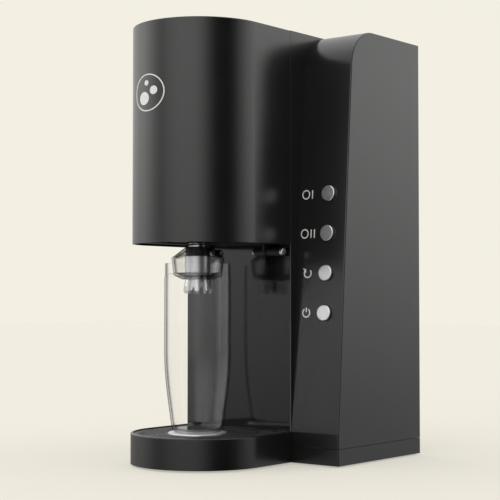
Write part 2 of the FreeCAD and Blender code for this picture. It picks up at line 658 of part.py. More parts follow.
def tray_grille():
    top = TRAY_RIM - GRILLE_SINK
    low = top - GRILLE_THICKNESS
    edge = TRAY_RADIUS - TRAY_WALL - FRAME_GAP
    back = TRAY_BACK - TRAY_WALL - FRAME_GAP
    plate = u_block(edge, back, low, top)
    seat = TRAY_RIM - DISC_THICKNESS
    plate = plate.cut(drum(DISC_RADIUS + FRAME_GAP, seat, top + 1, 0, BOTTLE_Y))
    plate = plate.cut(drum(DISC_RADIUS - 4, low - 1, top + 1, 0, BOTTLE_Y))
    keep = drum(DISC_RADIUS + 3.5, low - 1, top + 1, 0, BOTTLE_Y)
    field = u_block(edge - 5, back - 6, low - 1, top + 1)
    slots = []
    row = -edge + 9
    while row < back - 9:
        for x0, x1 in ((-edge, -SLOT_BAR - 3), (-SLOT_BAR, SLOT_BAR), (SLOT_BAR + 3, edge)):
            slots.append(box(x0, x1, row, row + SLOT_WIDTH, low - 1, top + 1))
        row += SLOT_PITCH
    cutters = Part.makeCompound(slots).common(field).cut(keep)
    return plate.cut(cutters)


def drip_disc():
    disc = drum(DISC_RADIUS, TRAY_RIM - DISC_THICKNESS, TRAY_RIM, 0, BOTTLE_Y)
    disc = disc.makeFillet(0.5, [e for e in disc.Edges if e.BoundBox.ZMin > TRAY_RIM - 0.1])
    holes = [drum(DISC_HOLE, 0, TRAY_RIM + 1, 0, BOTTLE_Y)]
    for ring in range(1, 4):
        radius = ring * DISC_RING_PITCH + 1
        count = 6 * ring
        for index in range(count):
            turn = 2 * math.pi * index / count
            x = radius * math.cos(turn)
            y = BOTTLE_Y + radius * math.sin(turn)
            holes.append(drum(DISC_HOLE, 0, TRAY_RIM + 1, x, y))
    return disc.cut(Part.makeCompound(holes))


# ---------------------------------------------------------------- bottle
def bottle_side(share):
    """Radius of the bottle's lower side, from foot (0) to full width (1)."""
    grow = math.sin(share * math.pi / 2) ** 1.15
    return BOTTLE_FOOT_RADIUS + (BOTTLE_RADIUS - BOTTLE_FOOT_RADIUS) * grow


def glass_bottle():
    low = BOTTLE_BOTTOM
    foot = low + 2.0
    steps = 16
    rim = BOTTLE_RADIUS - BOTTLE_RIM_STEP
    step_z = BOTTLE_TOP - BOTTLE_RIM_HEIGHT
    outside = [(BOTTLE_FOOT_RADIUS - 2.5, low)]
    inside = []
    for step in range(steps + 1):
        share = step / steps
        outside.append((bottle_side(share), foot + BOTTLE_TAPER * share))
        if step > 0:
            inside.append((bottle_side(share) - BOTTLE_WALL, foot + BOTTLE_TAPER * share))
    outside += [(BOTTLE_RADIUS, step_z - 0.8), (rim, step_z), (rim, BOTTLE_TOP - 0.5), (rim - 0.5, BOTTLE_TOP)]
    inside.append((BOTTLE_RADIUS - BOTTLE_WALL, BOTTLE_TOP))
    inside.reverse()
    inside += [(BOTTLE_FOOT_RADIUS - BOTTLE_WALL - 2, low + BOTTLE_FLOOR + 0.4), (0, low + BOTTLE_FLOOR)]
    underside = [(0, low + 1.2), (BOTTLE_FOOT_RADIUS - 6, low + 1.2)]
    return spun(underside + outside + inside, 0, BOTTLE_Y)


def bottle_seal():
    """Soft lip that closes the gap between the nozzle hood and the bottle mouth."""
    low = HOOD_BOTTOM + 1.0
    hole = hood_radius(low + 1.0) + RUNNING
    return tube(BOTTLE_RADIUS - BOTTLE_WALL - HOLDER_GAP, hole, low, low + 1.0, 0, BOTTLE_Y)


# ---------------------------------------------------------------- nozzle and its swinging carrier
def hood_radius(z):
    return HOOD_RADIUS - HOOD_TAPER * (HOOD_SHOULDER - z) / HOOD_HEIGHT


def facet_ring(radius, z):
    """Regular polygon wire whose corners lie on a circle."""
    corners = []
    for index in range(HOOD_FACETS + 1):
        turn = 2 * math.pi * (index + 0.5) / HOOD_FACETS
        corners.append(Vector(radius * math.cos(turn), BOTTLE_Y + radius * math.sin(turn), z))
    return Part.makePolygon(corners)


def nozzle_hood():
    rings = [(COLLAR_RADIUS + 0.6, COLLAR_TOP - 0.8), (HOOD_RADIUS, HOOD_SHOULDER),
             (HOOD_RADIUS - HOOD_TAPER, HOOD_BOTTOM), (CROWN_RADIUS + 1.2, CROWN_TOP)]
    outer = None
    for upper, lower in zip(rings, rings[1:]):
        piece = Part.makeLoft([facet_ring(*upper), facet_ring(*lower)], True, True)
        outer = piece if outer is None else outer.fuse(piece)
    mouth = CORE_RADIUS + FRAME_GAP
    neck = COLLAR_RADIUS + 0.15
    inside = HOOD_RADIUS - HOOD_WALL
    hollow = spun([(0, CROWN_TOP - 1), (mouth, CROWN_TOP - 1), (mouth, CROWN_TOP + 2.2),
                   (inside - HOOD_TAPER + 0.2, HOOD_BOTTOM + 1.8), (inside, HOOD_SHOULDER - 1.0),
                   (neck, COLLAR_TOP - 3.4), (neck, COLLAR_TOP + 1), (0, COLLAR_TOP + 1)], 0, BOTTLE_Y)
    return outer.cut(hollow).removeSplitter()


def nozzle_bore(z0, z1):
    return drum(NOZZLE_BORE, z0 - 1, z1 + 1, 0, BOTTLE_Y)


def nozzle_collar():
    collar = drum(COLLAR_RADIUS, COLLAR_BOTTOM + REST_GAP, COLLAR_TOP, 0, BOTTLE_Y)
    collar = collar.makeChamfer(1.0, [e for e in collar.Edges if e.BoundBox.ZMin > COLLAR_TOP - 0.1])
    return collar.cut(nozzle_bore(COLLAR_BOTTOM, COLLAR_TOP))


def nozzle_neck():
    """Plated neck with a groove, the spigot that sits in the yoke, and the hose nut on top."""
    low = COLLAR_TOP + REST_GAP
    seat = YOKE_BOTTOM - REST_GAP
    neck = drum(NECK_RADIUS, low, seat, 0, BOTTLE_Y)
    spigot = drum(NECK_RADIUS - NECK_STEP, seat, NOZZLE_TOP, 0, BOTTLE_Y)
    groove = tube(NECK_RADIUS + 1, NECK_RADIUS - 1.2, low + 2.2, low + 3.0, 0, BOTTLE_Y)
    corners = []
    for side in range(6):
        turn = math.radians(60 * side)
        corners.append((NUT_RADIUS * math.cos(turn), BOTTLE_Y + NUT_RADIUS * math.sin(turn), NOZZLE_TOP))
    nut = prism(corners, [0] * 6, Vector(0, 0, NUT_HEIGHT))
    return neck.fuse(spigot).cut(groove).cut(nozzle_bore(low, NOZZLE_TOP - 1.02)).fuse(nut)


def nozzle_core():
    low = HOOD_BOTTOM + 0.5
    core = drum(CORE_RADIUS, low, COLLAR_BOTTOM, 0, BOTTLE_Y)
    for z in (low + 1.7, low + 3.3, COLLAR_BOTTOM - 3.2):
        core = core.cut(tube(CORE_RADIUS + 1, CORE_RADIUS - CORE_GROOVE, z, z + 0.5, 0, BOTTLE_Y))
    return core.cut(nozzle_bore(low, COLLAR_BOTTOM))


def nozzle_crown():
    """Clear toothed ring under the core that centres the bottle and spreads the gas."""
    top = HOOD_BOTTOM + 0.4
    waist = CROWN_RADIUS - 1.5
    inside = CROWN_RADIUS - 3.2
    hole = INJECTOR_RADIUS + 1.2
    ring = spun([(inside, CROWN_BOTTOM), (inside + 2, CROWN_BOTTOM), (CROWN_RADIUS, CROWN_BOTTOM + 3),
                 (waist, CROWN_TOP - 1), (waist, top), (hole, top), (hole, top - 3), (inside, CROWN_TOP - 3)],
                0, BOTTLE_Y)
    start = inside - 2.8
    cuts = []
    for index in range(CROWN_TEETH):
        notch = prism([(start, -CROWN_NOTCH, CROWN_BOTTOM - 1), (start, CROWN_NOTCH, CROWN_BOTTOM - 1),
                       (start, 0.0, CROWN_BOTTOM + 7)], [0, 0, 0], Vector(12, 0, 0))
        spin = Rotation(Z_AXIS, 360.0 * (index + 0.5) / CROWN_TEETH)
        notch.Placement = Placement(Vector(0, BOTTLE_Y, 0), spin)
        cuts.append(notch)
    return ring.cut(Part.makeCompound(cuts))


def injector_tube():
    return tube(INJECTOR_RADIUS, INJECTOR_BORE, CROWN_BOTTOM + 2, NOZZLE_TOP - 2, 0, BOTTLE_Y)


def hinge_rod(radius, x0, x1):
    return rod(radius, (x0, HINGE_Y, HINGE_Z), (x1, HINGE_Y, HINGE_Z))


def nozzle_yoke():
    """Plate that carries the nozzle, with an ear down to the hinge at each side."""
    low = YOKE_BOTTOM
    high = low + YOKE_THICKNESS
    back = HINGE_Y - 3
    outline = [(-YOKE_HALF_WIDTH, back, low), (-YOKE_HALF_WIDTH, 5, low), (-YOKE_NOSE, -YOKE_FRONT, low),
               (YOKE_NOSE, -YOKE_FRONT, low), (YOKE_HALF_WIDTH, 5, low), (YOKE_HALF_WIDTH, back, low)]
    yoke = prism(outline, [2, YOKE_CORNER, 10, 10, YOKE_CORNER, 2], Vector(0, 0, high - low))
    for side in (-1, 1):
        x0 = side * EAR_X - EAR_THICKNESS / 2
        x1 = x0 + EAR_THICKNESS
        ear = box(x0, x1, HINGE_Y - 5, HINGE_Y + 0.5, HINGE_Z, high)
        yoke = yoke.fuse(ear.fuse(hinge_rod(HINGE_BARREL_RADIUS + 0.8, x0, x1)))
        yoke = yoke.cut(hinge_rod(HINGE_PIN_RADIUS + RUNNING, x0 - 1, x1 + 1))
    yoke = yoke.cut(drum(NECK_RADIUS - NECK_STEP + FIT, low - 1, high + 1, 0, BOTTLE_Y))
    return yoke.removeSplitter()


def to_side(shape, side):
    """A piece drawn on the right, mirrored to the left where the side is -1."""
    return shape.mirror(Vector(0, 0, 0), X_AXIS) if side < 0 else shape


def hinge_bracket(side):
    """Two fixed sleeves with the carrier's ear between them, on a plate screwed to the column."""
    gap0 = EAR_X - EAR_THICKNESS / 2 - EAR_GAP
    gap1 = EAR_X + EAR_THICKNESS / 2 + EAR_GAP
    inner = HINGE_INNER_X + 2
    outer = HINGE_OUTER_X - HINGE_CAP - 0.1
    bracket = box(inner, outer, SEAM_Y - 1.2, SEAM_Y,
                  HINGE_Z - HINGE_BARREL_RADIUS, HINGE_Z + HINGE_BARREL_RADIUS)
    for x0, x1 in ((inner, gap0), (gap1, outer)):
        bracket = bracket.fuse(hinge_rod(HINGE_BARREL_RADIUS, x0, x1))
        bracket = bracket.fuse(box(x0, x1, HINGE_Y, SEAM_Y - 0.5, HINGE_Z - 2.5, HINGE_Z + 2.5))
    bracket = bracket.cut(hinge_rod(HINGE_BARREL_RADIUS + 1.4, gap0, gap1))
    bracket = bracket.cut(hinge_rod(HINGE_PIN_RADIUS + FIT, inner - 1, outer + 1))
    return to_side(bracket, side).removeSplitter()


def hinge_pin(side):
    cap_x = HINGE_OUTER_X - HINGE_CAP
    body = hinge_rod(HINGE_PIN_RADIUS, HINGE_INNER_X + 1.5, cap_x)
    cap = hinge_rod(HINGE_BARREL_RADIUS - 0.4, cap_x, HINGE_OUTER_X)
    cap = cap.makeFillet(1.2, [e for e in cap.Edges if e.BoundBox.XMin > HINGE_OUTER_X - 0.1])
    clip = hinge_rod(HINGE_BARREL_RADIUS - 1, HINGE_INNER_X, HINGE_INNER_X + 1.9)
    return to_side(body.fuse(cap).fuse(clip), side).removeSplitter()


# ---------------------------------------------------------------- buttons
def button_height(index):
    return BUTTON_TOP_Z - index * BUTTON_PITCH


def button_cap():
    cap = drum(BUTTON_RADIUS, -WALL - BUTTON_SKIRT, BUTTON_PROUD)
    return cap.makeFillet(BUTTON_EDGE, [e for e in cap.Edges if e.BoundBox.ZMin > BUTTON_PROUD - 0.1])


def button_stem():
    """Flange that stops the cap from falling out, and the pin that works the switch."""
    top = -WALL - BUTTON_SKIRT
    flange = drum(BUTTON_RADIUS + FLANGE_PROUD, top - FLANGE_THICKNESS, top)
    return flange.fuse(drum(STEM_RADIUS, -STEM_DEPTH, top - FLANGE_THICKNESS))


def face_plate(depth, thickness, margin):
    """Flat plate parallel to the leaning face, behind it."""
    span = BUTTON_PITCH * (len(BUTTON_NAMES) - 1) / 2 + margin
    plate = box(-GUIDE_HALF, GUIDE_HALF, -span, span, -depth - thickness, -depth)
    return on_face(plate, BUTTON_X, button_height((len(BUTTON_NAMES) - 1) / 2))


def button_guide():
    plate = face_plate(GUIDE_DEPTH, GUIDE_THICKNESS, GUIDE_MARGIN)
    for index in range(len(BUTTON_NAMES)):
        hole = drum(STEM_RADIUS + RUNNING + FIT, -BOARD_DEPTH, 0)
        plate = plate.cut(on_face(hole, BUTTON_X, button_height(index)))
    return plate


def button_board():
    return face_plate(BOARD_DEPTH, BOARD_THICKNESS, GUIDE_MARGIN + 2)


def button_switch(index):
    half = SWITCH_SIZE / 2
    top = SWITCH_HEIGHT - BOARD_DEPTH
    body = box(-half, half, -half, half, -BOARD_DEPTH, top).fuse(drum(NUB_RADIUS, top, top + NUB_HEIGHT))
    return on_face(body, BUTTON_X, button_height(index))


# ---------------------------------------------------------------- gas side
def gas_cylinder():
    """Pressure cylinder with a domed shoulder and an open neck that the valve closes."""
    foot = CYLINDER_BOTTOM
    outer = [(CYLINDER_RADIUS - 3, foot), (CYLINDER_RADIUS, foot + 3)]
    inner = [(0, foot + 9), (CYLINDER_RADIUS - 8, foot + 5), (CYLINDER_RADIUS - CYLINDER_WALL, foot + 9)]
    steps = 6
    for step in range(steps + 1):
        turn = math.pi / 2 * step / steps
        reach = CYLINDER_RADIUS - GAS_NECK_RADIUS - 1.5
        outer.append((GAS_NECK_RADIUS + 1.5 + reach * math.cos(turn),
                      CYLINDER_SHOULDER + DOME_HEIGHT * math.sin(turn)))
        inside = (CYLINDER_RADIUS - CYLINDER_WALL - GAS_BORE_RADIUS) * math.cos(turn)
        inner.append((GAS_BORE_RADIUS + inside, CYLINDER_SHOULDER - 2 + (DOME_HEIGHT - 2) * math.sin(turn)))
    outer += [(GAS_NECK_RADIUS, CYLINDER_SHOULDER + DOME_HEIGHT + 1.5), (GAS_NECK_RADIUS, NECK_TOP - 0.3)]
    inner.append((GAS_BORE_RADIUS, NECK_TOP - 0.3))
    profile = [(0, foot + 4), (22, foot + 1)] + outer + list(reversed(inner))
    return spun(profile, CYLINDER_X, CYLINDER_Y)


def cylinder_cup():
    inside = CYLINDER_RADIUS + HOLDER_GAP
    cup = drum(inside + HOLDER_WALL, PLINTH_TOP + REST_GAP, CYLINDER_BOTTOM + CUP_HEIGHT,
               CYLINDER_X, CYLINDER_Y)
    return cup.cut(drum(inside, CYLINDER_BOTTOM - 0.1, CYLINDER_BOTTOM + CUP_HEIGHT + 1,
                        CYLINDER_X, CYLINDER_Y))


def cylinder_clip():
    """Open spring ring round the middle of the cylinder, its mouth to the door."""
    z = (CYLINDER_BOTTOM + CYLINDER_SHOULDER) / 2
    inside = CYLINDER_RADIUS + HOLDER_GAP
    ring = tube(inside + HOLDER_WALL, inside, z, z + CLIP_HEIGHT, CYLINDER_X, CYLINDER_Y)
    mouth = box(CYLINDER_X - CLIP_MOUTH, CYLINDER_X + CLIP_MOUTH, CYLINDER_Y + 8, CYLINDER_Y + inside + 10,
                z - 1, z + CLIP_HEIGHT + 1)
    return ring.cut(mouth)


def chassis_frame():
    """Two posts and a shelf: the shelf carries the valve block over the cylinder."""
    top = SHELF_Z + SHELF_THICKNESS
    reach = CYLINDER_RADIUS + POST_GAP + POST_SIZE
    half = POST_DEPTH / 2
    low = PLINTH_TOP + REST_GAP
    shelf = box(CYLINDER_X - reach, CYLINDER_X + reach, CYLINDER_Y - SHELF_HALF, CYLINDER_Y + SHELF_HALF,
                SHELF_Z, top)
    shelf = shelf.cut(drum(GAS_NECK_RADIUS + POST_WALL, SHELF_Z - 1, top + 1, CYLINDER_X, CYLINDER_Y))
    for left in (CYLINDER_X - reach, CYLINDER_X + reach - POST_SIZE):
        post = box(left, left + POST_SIZE, CYLINDER_Y - half, CYLINDER_Y + half, low, SHELF_Z)
        channel = box(left + POST_WALL, left + POST_SIZE - POST_WALL, CYLINDER_Y - half + POST_WALL,
                      CYLINDER_Y + half + 1, low + 3, SHELF_Z - 2)
        shelf = shelf.fuse(post.cut(channel))
    return shelf.removeSplitter()


def over_cylinder(radius, z0, z1):
    return drum(radius, z0, z1, CYLINDER_X, CYLINDER_Y)


def cylinder_valve():
    body = over_cylinder(GAS_NECK_RADIUS - FRAME_GAP, NECK_TOP - 0.2, VALVE_TOP)
    return body.cut(over_cylinder(PIN_RADIUS + RUNNING, VALVE_TOP - 9, VALVE_TOP + 1))


def valve_pin():
    return over_cylinder(PIN_RADIUS, VALVE_TOP - 5, BLOCK_TOP - PLUNGER_DEPTH)


def valve_block():
    half = BLOCK_WIDTH / 2
    block = box(CYLINDER_X - half, CYLINDER_X + half, CYLINDER_Y - half, CYLINDER_Y + half,
                BLOCK_LOW, BLOCK_TOP)
    block = block.makeChamfer(1.0, [e for e in block.Edges if e.BoundBox.ZLength > 5])
    block = block.cut(over_cylinder(GAS_NECK_RADIUS + 0.2, BLOCK_LOW - 1, VALVE_TOP + FRAME_GAP))
    return block.cut(over_cylinder(PLUNGER_RADIUS + RUNNING, BLOCK_LOW, BLOCK_TOP + 1))


def valve_plunger():
    neck = PLUNGER_TOP - PLUNGER_HEAD_THICKNESS
    stem = over_cylinder(PLUNGER_RADIUS, BLOCK_TOP - PLUNGER_DEPTH + FIT, neck)
    return stem.fuse(over_cylinder(PLUNGER_HEAD, neck, PLUNGER_TOP))


def plunger_spring():
    low = BLOCK_TOP + SPRING_GAP
    high = PLUNGER_TOP - PLUNGER_HEAD_THICKNESS - SPRING_GAP
    helix = Part.makeHelix((high - low) / SPRING_TURNS, high - low, SPRING_RADIUS)
    ring = Part.Wire(Part.makeCircle(SPRING_WIRE, Vector(SPRING_RADIUS, 0, 0), Y_AXIS))
    coil = Part.Wire(helix.Edges).makePipeShell([ring], True, True)
    coil.translate(Vector(CYLINDER_X, CYLINDER_Y, low))
    return coil


def cam_frame():
    """Bent steel frame over the valve block that carries the cam shaft."""
    low = BLOCK_TOP + REST_GAP
    first, last = SIDE_PLATES
    sheet = CAM_FRAME_SHEET
    near = CYLINDER_Y - CAM_FRAME_HALF
    far = CYLINDER_Y + CAM_FRAME_HALF
    frame = box(first, last + sheet, near, far, low, low + sheet)
    frame = frame.cut(over_cylinder(PLUNGER_HEAD + 1, low - 1, low + sheet + 1))
    for x in SIDE_PLATES:
        frame = frame.fuse(box(x, x + sheet, near, far, low, CAM_Z + 8))
    hole = rod(CAM_SHAFT_RADIUS + RUNNING,
               (first - 1, CYLINDER_Y, CAM_Z), (last + sheet + 1, CYLINDER_Y, CAM_Z))
    return frame.cut(hole).removeSplitter()


def snail_cam():
    """Outline whose radius grows evenly over its sweep, pressing the plunger down as it turns."""
    points = []
    count = 72
    x = CYLINDER_X - CAM_WIDTH / 2
    for index in range(count):
        turn = 360.0 * index / count
        rise = min(1.0, turn / CAM_SWEEP)
        fall = max(0.0, (turn - CAM_SWEEP - CAM_DWELL) / CAM_RETURN)
        radius = CAM_RADIUS + CAM_RISE * max(0.0, rise - fall)
        angle = math.radians(-90 - turn)
        points.append(Vector(x, CYLINDER_Y + radius * math.cos(angle), CAM_Z + radius * math.sin(angle)))
    return Part.Face(Part.makePolygon(points + [points[0]])).extrude(Vector(CAM_WIDTH, 0, 0))


def cam_shaft():
    end = GEAR_X + GEAR_WIDTH + 0.5
    shaft = rod(CAM_SHAFT_RADIUS, (SIDE_PLATES[0] - 2, CYLINDER_Y, CAM_Z), (end, CYLINDER_Y, CAM_Z))
    return shaft.fuse(snail_cam())


def cam_gear():
    gear = involute_gear(GEAR_TEETH, GEAR_WIDTH, CAM_SHAFT_RADIUS + FIT)
    gear.rotate(Vector(0, 0, 0), X_AXIS, 180 + 180.0 / GEAR_TEETH)
    gear.translate(Vector(GEAR_X, CYLINDER_Y, CAM_Z))
    return gear


def motor_pinion():
    """Small gear and the shaft it turns with."""
    gear = involute_gear(PINION_TEETH, GEAR_WIDTH + 1, PIN_RADIUS - 0.2)
    gear.translate(Vector(GEAR_X - 0.5, MOTOR_Y, CAM_Z))
    shaft = rod(PIN_RADIUS, (GEAR_X - 0.5, MOTOR_Y, CAM_Z), (MOTOR_FACE + MOTOR_BORE, MOTOR_Y, CAM_Z))
    return gear.fuse(shaft)


def motor():
    body = rod(MOTOR_RADIUS, (MOTOR_FACE, MOTOR_Y, CAM_Z), (MOTOR_FACE + MOTOR_LENGTH, MOTOR_Y, CAM_Z))
    body = body.makeFillet(1.0, [e for e in body.Edges if e.BoundBox.XLength < 0.1])
    bore = rod(PIN_RADIUS + RUNNING,
               (MOTOR_FACE - 1, MOTOR_Y, CAM_Z), (MOTOR_FACE + MOTOR_BORE + 1, MOTOR_Y, CAM_Z))
    return body.cut(bore)


def motor_plate():
    """Plate between motor and gears, on two arms from the cam frame."""
    face = MOTOR_FACE - REST_GAP
    x0 = MOTOR_FACE - MOTOR_PLATE
    arm_x = SIDE_PLATES[1] + CAM_FRAME_SHEET + REST_GAP
    low = BLOCK_TOP + 2.2
    front = MOTOR_Y - 14
    plate = box(x0, face, front, CYLINDER_Y - 7, low, CAM_Z + MOTOR_RADIUS)
    plate = plate.cut(rod(PIN_RADIUS + 1, (x0 - 1, MOTOR_Y, CAM_Z), (MOTOR_FACE + 1, MOTOR_Y, CAM_Z)))
    arm = box(arm_x, face, front, front + 6, low, low + 6)
    arm_back = box(arm_x, face, CYLINDER_Y - CAM_FRAME_HALF, CYLINDER_Y - 7, low, low + 3)
    return plate.fuse(arm).fuse(arm_back).removeSplitter()


def relief_valve():
    start = CYLINDER_Y + BLOCK_WIDTH / 2
    end = start + FITTING_LENGTH
    valve = rod(FITTING_RADIUS, (CYLINDER_X, start, BLOCK_PORT_Z), (CYLINDER_X, end, BLOCK_PORT_Z))
    barb = rod(BARB_RADIUS, (CYLINDER_X, end, BLOCK_PORT_Z), (CYLINDER_X, end + BARB_LENGTH, BLOCK_PORT_Z))
    return valve.fuse(barb)


def hose_fitting():
    x, y, z = HOSE_START
    nut = rod(FITTING_RADIUS, (CYLINDER_X - BLOCK_WIDTH / 2, y, z), (x + 2, y, z))
    return nut.fuse(rod(BARB_RADIUS, (x + 2, y, z), HOSE_START))


def hose_manifold():
    x, y, z = MANIFOLD
    half = MANIFOLD_HALF
    block = box(x - half, x + half, y - half, COLUMN_INSIDE, z - half, z + half)
    arms = box(-MANIFOLD_ARM, MANIFOLD_ARM, COLUMN_INSIDE, COLUMN_INSIDE + 2, z - half, z + half)
    return block.fuse(arms).removeSplitter()


def gas_hose():
    x, y, z = MANIFOLD
    first_x, first_y, first_z = HOSE_START
    points = [HOSE_START, (first_x - 24, first_y, first_z), (x + 4, first_y - 20, first_z - 14),
              (x, first_y - 46, z + 30), (x, first_y - 66, z), (x, COLUMN_INSIDE + 2, z)]
    return hose(points, HOSE_RADIUS)


def nozzle_hose():
    x, y, z = MANIFOLD
    low = z - MANIFOLD_HALF
    points = [(x, y, low), (x, y, low - 16), (x, y - 20, low - 34), (x, BOTTLE_Y + 12, low - 36),
              (x, BOTTLE_Y, low - 48), (x, BOTTLE_Y, NOZZLE_TOP + NUT_HEIGHT + FIT)]
    return hose(points, HOSE_RADIUS)


# ---------------------------------------------------------------- electronics
def main_board():
    return box(MAIN_BOARD_X, MAIN_BOARD_X + BOARD_THICKNESS, *MAIN_BOARD_Y, *MAIN_BOARD_Z)


def board_parts():
    """Tall components on the main board, each a separate block."""
    x = MAIN_BOARD_X + BOARD_THICKNESS
    y = MAIN_BOARD_Y[0]
    z = MAIN_BOARD_Z[0]
    transformer = box(x, x + 14, y + 8, y + 26, z + 10, z + 36)
    capacitor = box(x, x + 18, y + 38, y + 54, z + 14, z + 30)
    relay = box(x, x + 9, y + 8, y + 20, z + 60, z + 80)
    terminals = box(x, x + 11, y + 44, y + 68, z + 70, z + 96)
    return Part.makeCompound([transformer, capacitor, relay, terminals])


# ---------------------------------------------------------------- write every piece
def main():
    os.makedirs("parts", exist_ok=True)
    write("base_shell", base_shell())
    write("base_plate", base_plate())
    write("rubber_feet", Part.makeCompound([foot(x, y) for x, y in FRONT_FEET + REAR_FEET]))
    write("base_screws", Part.makeCompound([plate_screw(x, y) for x, y in PLATE_SCREWS]))
    write("dc_inlet", dc_inlet())
    write("tower_shell", tower_shell())
    write("column_panel", column_panel())
    write("head_shell", head_shell())
    write("head_floor", head_floor())
    write("rear_door", rear_door())
    write("door_strike", door_strike())
    write("door_magnet", door_magnet())
    write("door_hinge_pin", door_hinge_pin())
    write("drip_tray_tub", tray_tub())
    write("drip_tray_grille", tray_grille())
    write("drip_tray_disc", drip_disc())
    write("glass_bottle", glass_bottle())
    write("bottle_seal", bottle_seal())
    write("nozzle_hood", nozzle_hood())
    write("nozzle_collar", nozzle_collar())
    write("nozzle_neck", nozzle_neck())
    write("nozzle_core", nozzle_core())
    write("nozzle_crown", nozzle_crown())
    write("injector_tube", injector_tube())
    write("nozzle_yoke", nozzle_yoke())
    for side, label in ((-1, "left"), (1, "right")):
        write("hinge_bracket_" + label, hinge_bracket(side))
    write("hinge_pins", Part.makeCompound([hinge_pin(-1), hinge_pin(1)]))
    for index, label in enumerate(BUTTON_NAMES):
        write("button_" + label, on_face(button_cap(), BUTTON_X, button_height(index)))
        write("stem_" + label, on_face(button_stem(), BUTTON_X, button_height(index)))
    write("button_switches", Part.makeCompound([button_switch(i) for i in range(len(BUTTON_NAMES))]))
    write("button_guide", button_guide())
    write("button_board", button_board())
    write("gas_cylinder", gas_cylinder())
    write("cylinder_cup", cylinder_cup())
    write("cylinder_clip", cylinder_clip())
    write("chassis_frame", chassis_frame())
    write("cylinder_valve", cylinder_valve())
    write("valve_pin", valve_pin())
    write("valve_block", valve_block())
    write("valve_plunger", valve_plunger())
    write("plunger_spring", plunger_spring())
    write("cam_frame", cam_frame())
    write("cam_shaft", cam_shaft())
    write("cam_gear", cam_gear())
    write("motor_pinion", motor_pinion())
    write("drive_motor", motor())
    write("motor_plate", motor_plate())
    write("block_fittings", Part.makeCompound([relief_valve(), hose_fitting()]))
    write("hose_manifold", hose_manifold())
    write("gas_hose", gas_hose())
    write("nozzle_hose", nozzle_hose())
    write("main_board", main_board())
    write("board_parts", board_parts())


main()
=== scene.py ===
import json
import math

import bpy
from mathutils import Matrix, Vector
from mathutils.bvhtree import BVHTree

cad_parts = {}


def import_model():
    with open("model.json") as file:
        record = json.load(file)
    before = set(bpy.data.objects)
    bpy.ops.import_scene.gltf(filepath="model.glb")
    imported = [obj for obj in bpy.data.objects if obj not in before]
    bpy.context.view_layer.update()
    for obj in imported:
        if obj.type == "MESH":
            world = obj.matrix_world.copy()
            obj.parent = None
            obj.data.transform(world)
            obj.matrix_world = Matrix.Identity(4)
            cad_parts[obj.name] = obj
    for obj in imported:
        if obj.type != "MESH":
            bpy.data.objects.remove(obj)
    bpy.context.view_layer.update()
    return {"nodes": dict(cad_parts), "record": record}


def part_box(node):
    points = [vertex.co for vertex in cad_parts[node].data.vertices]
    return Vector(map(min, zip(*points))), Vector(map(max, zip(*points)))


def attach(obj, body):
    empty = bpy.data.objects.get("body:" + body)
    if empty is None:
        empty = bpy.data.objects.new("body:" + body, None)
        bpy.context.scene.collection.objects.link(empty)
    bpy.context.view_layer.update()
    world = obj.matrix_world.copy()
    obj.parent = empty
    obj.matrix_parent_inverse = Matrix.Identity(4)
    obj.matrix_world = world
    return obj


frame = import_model()
NODES = frame["nodes"]
MM = 0.001

# ---------------------------------------------------------------- places read from the frame
HEAD_LOW, HEAD_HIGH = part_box("head_shell")
PANEL_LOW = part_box("column_panel")[0]
TOWER_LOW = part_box("tower_shell")[0]
BUTTONS = ("level_one", "level_two", "reset", "power")
HEAD_RADIUS = (HEAD_HIGH.x - HEAD_LOW.x) / 2
HEAD_AXIS = Vector(((HEAD_HIGH.x + HEAD_LOW.x) / 2, HEAD_LOW.y + HEAD_RADIUS, 0))


def node_centre(node):
    low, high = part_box(node)
    return (low + high) / 2


BOTTLE_AXIS = node_centre("glass_bottle")


# ---------------------------------------------------------------- node helpers
def new_material(name):
    material = bpy.data.materials.new(name)
    material.use_nodes = True
    tree = material.node_tree
    shader = tree.nodes["Principled BSDF"]
    return material, tree, shader


def coordinates(tree, scale=(1.0, 1.0, 1.0)):
    """Object coordinates, stretched; the same in every view because they ride on the piece."""
    source = tree.nodes.new("ShaderNodeTexCoord")
    mapping = tree.nodes.new("ShaderNodeMapping")
    mapping.inputs["Scale"].default_value = scale
    tree.links.new(source.outputs["Object"], mapping.inputs["Vector"])
    return mapping.outputs["Vector"]


def noise(tree, vector, scale, detail=3.0, rough=0.55):
    """A cloudy pattern; its scale is counted per metre."""
    node = tree.nodes.new("ShaderNodeTexNoise")
    node.inputs["Scale"].default_value = scale
    node.inputs["Detail"].default_value = detail
    node.inputs["Roughness"].default_value = rough
    tree.links.new(vector, node.inputs["Vector"])
    return node.outputs["Fac"]


NOISE_FLOOR = 0.3           # nearly all of a noise pattern lies between these two
NOISE_CEILING = 0.7


def spread(tree, value, low, high, start=NOISE_FLOOR, end=NOISE_CEILING):
    """Map the stretch of a pattern from start to end onto low to high."""
    node = tree.nodes.new("ShaderNodeMapRange")
    node.inputs["From Min"].default_value = start
    node.inputs["From Max"].default_value = end
    node.inputs["To Min"].default_value = low
    node.inputs["To Max"].default_value = high
    tree.links.new(value, node.inputs["Value"])
    return node.outputs["Result"]


def tint(tree, value, dark, light):
    """Blend two colours by a pattern."""
    node = tree.nodes.new("ShaderNodeMix")
    node.data_type = "RGBA"
    node.inputs["A"].default_value = (*dark, 1)
    node.inputs["B"].default_value = (*light, 1)
    tree.links.new(value, node.inputs["Factor"])
    return node.outputs["Result"]


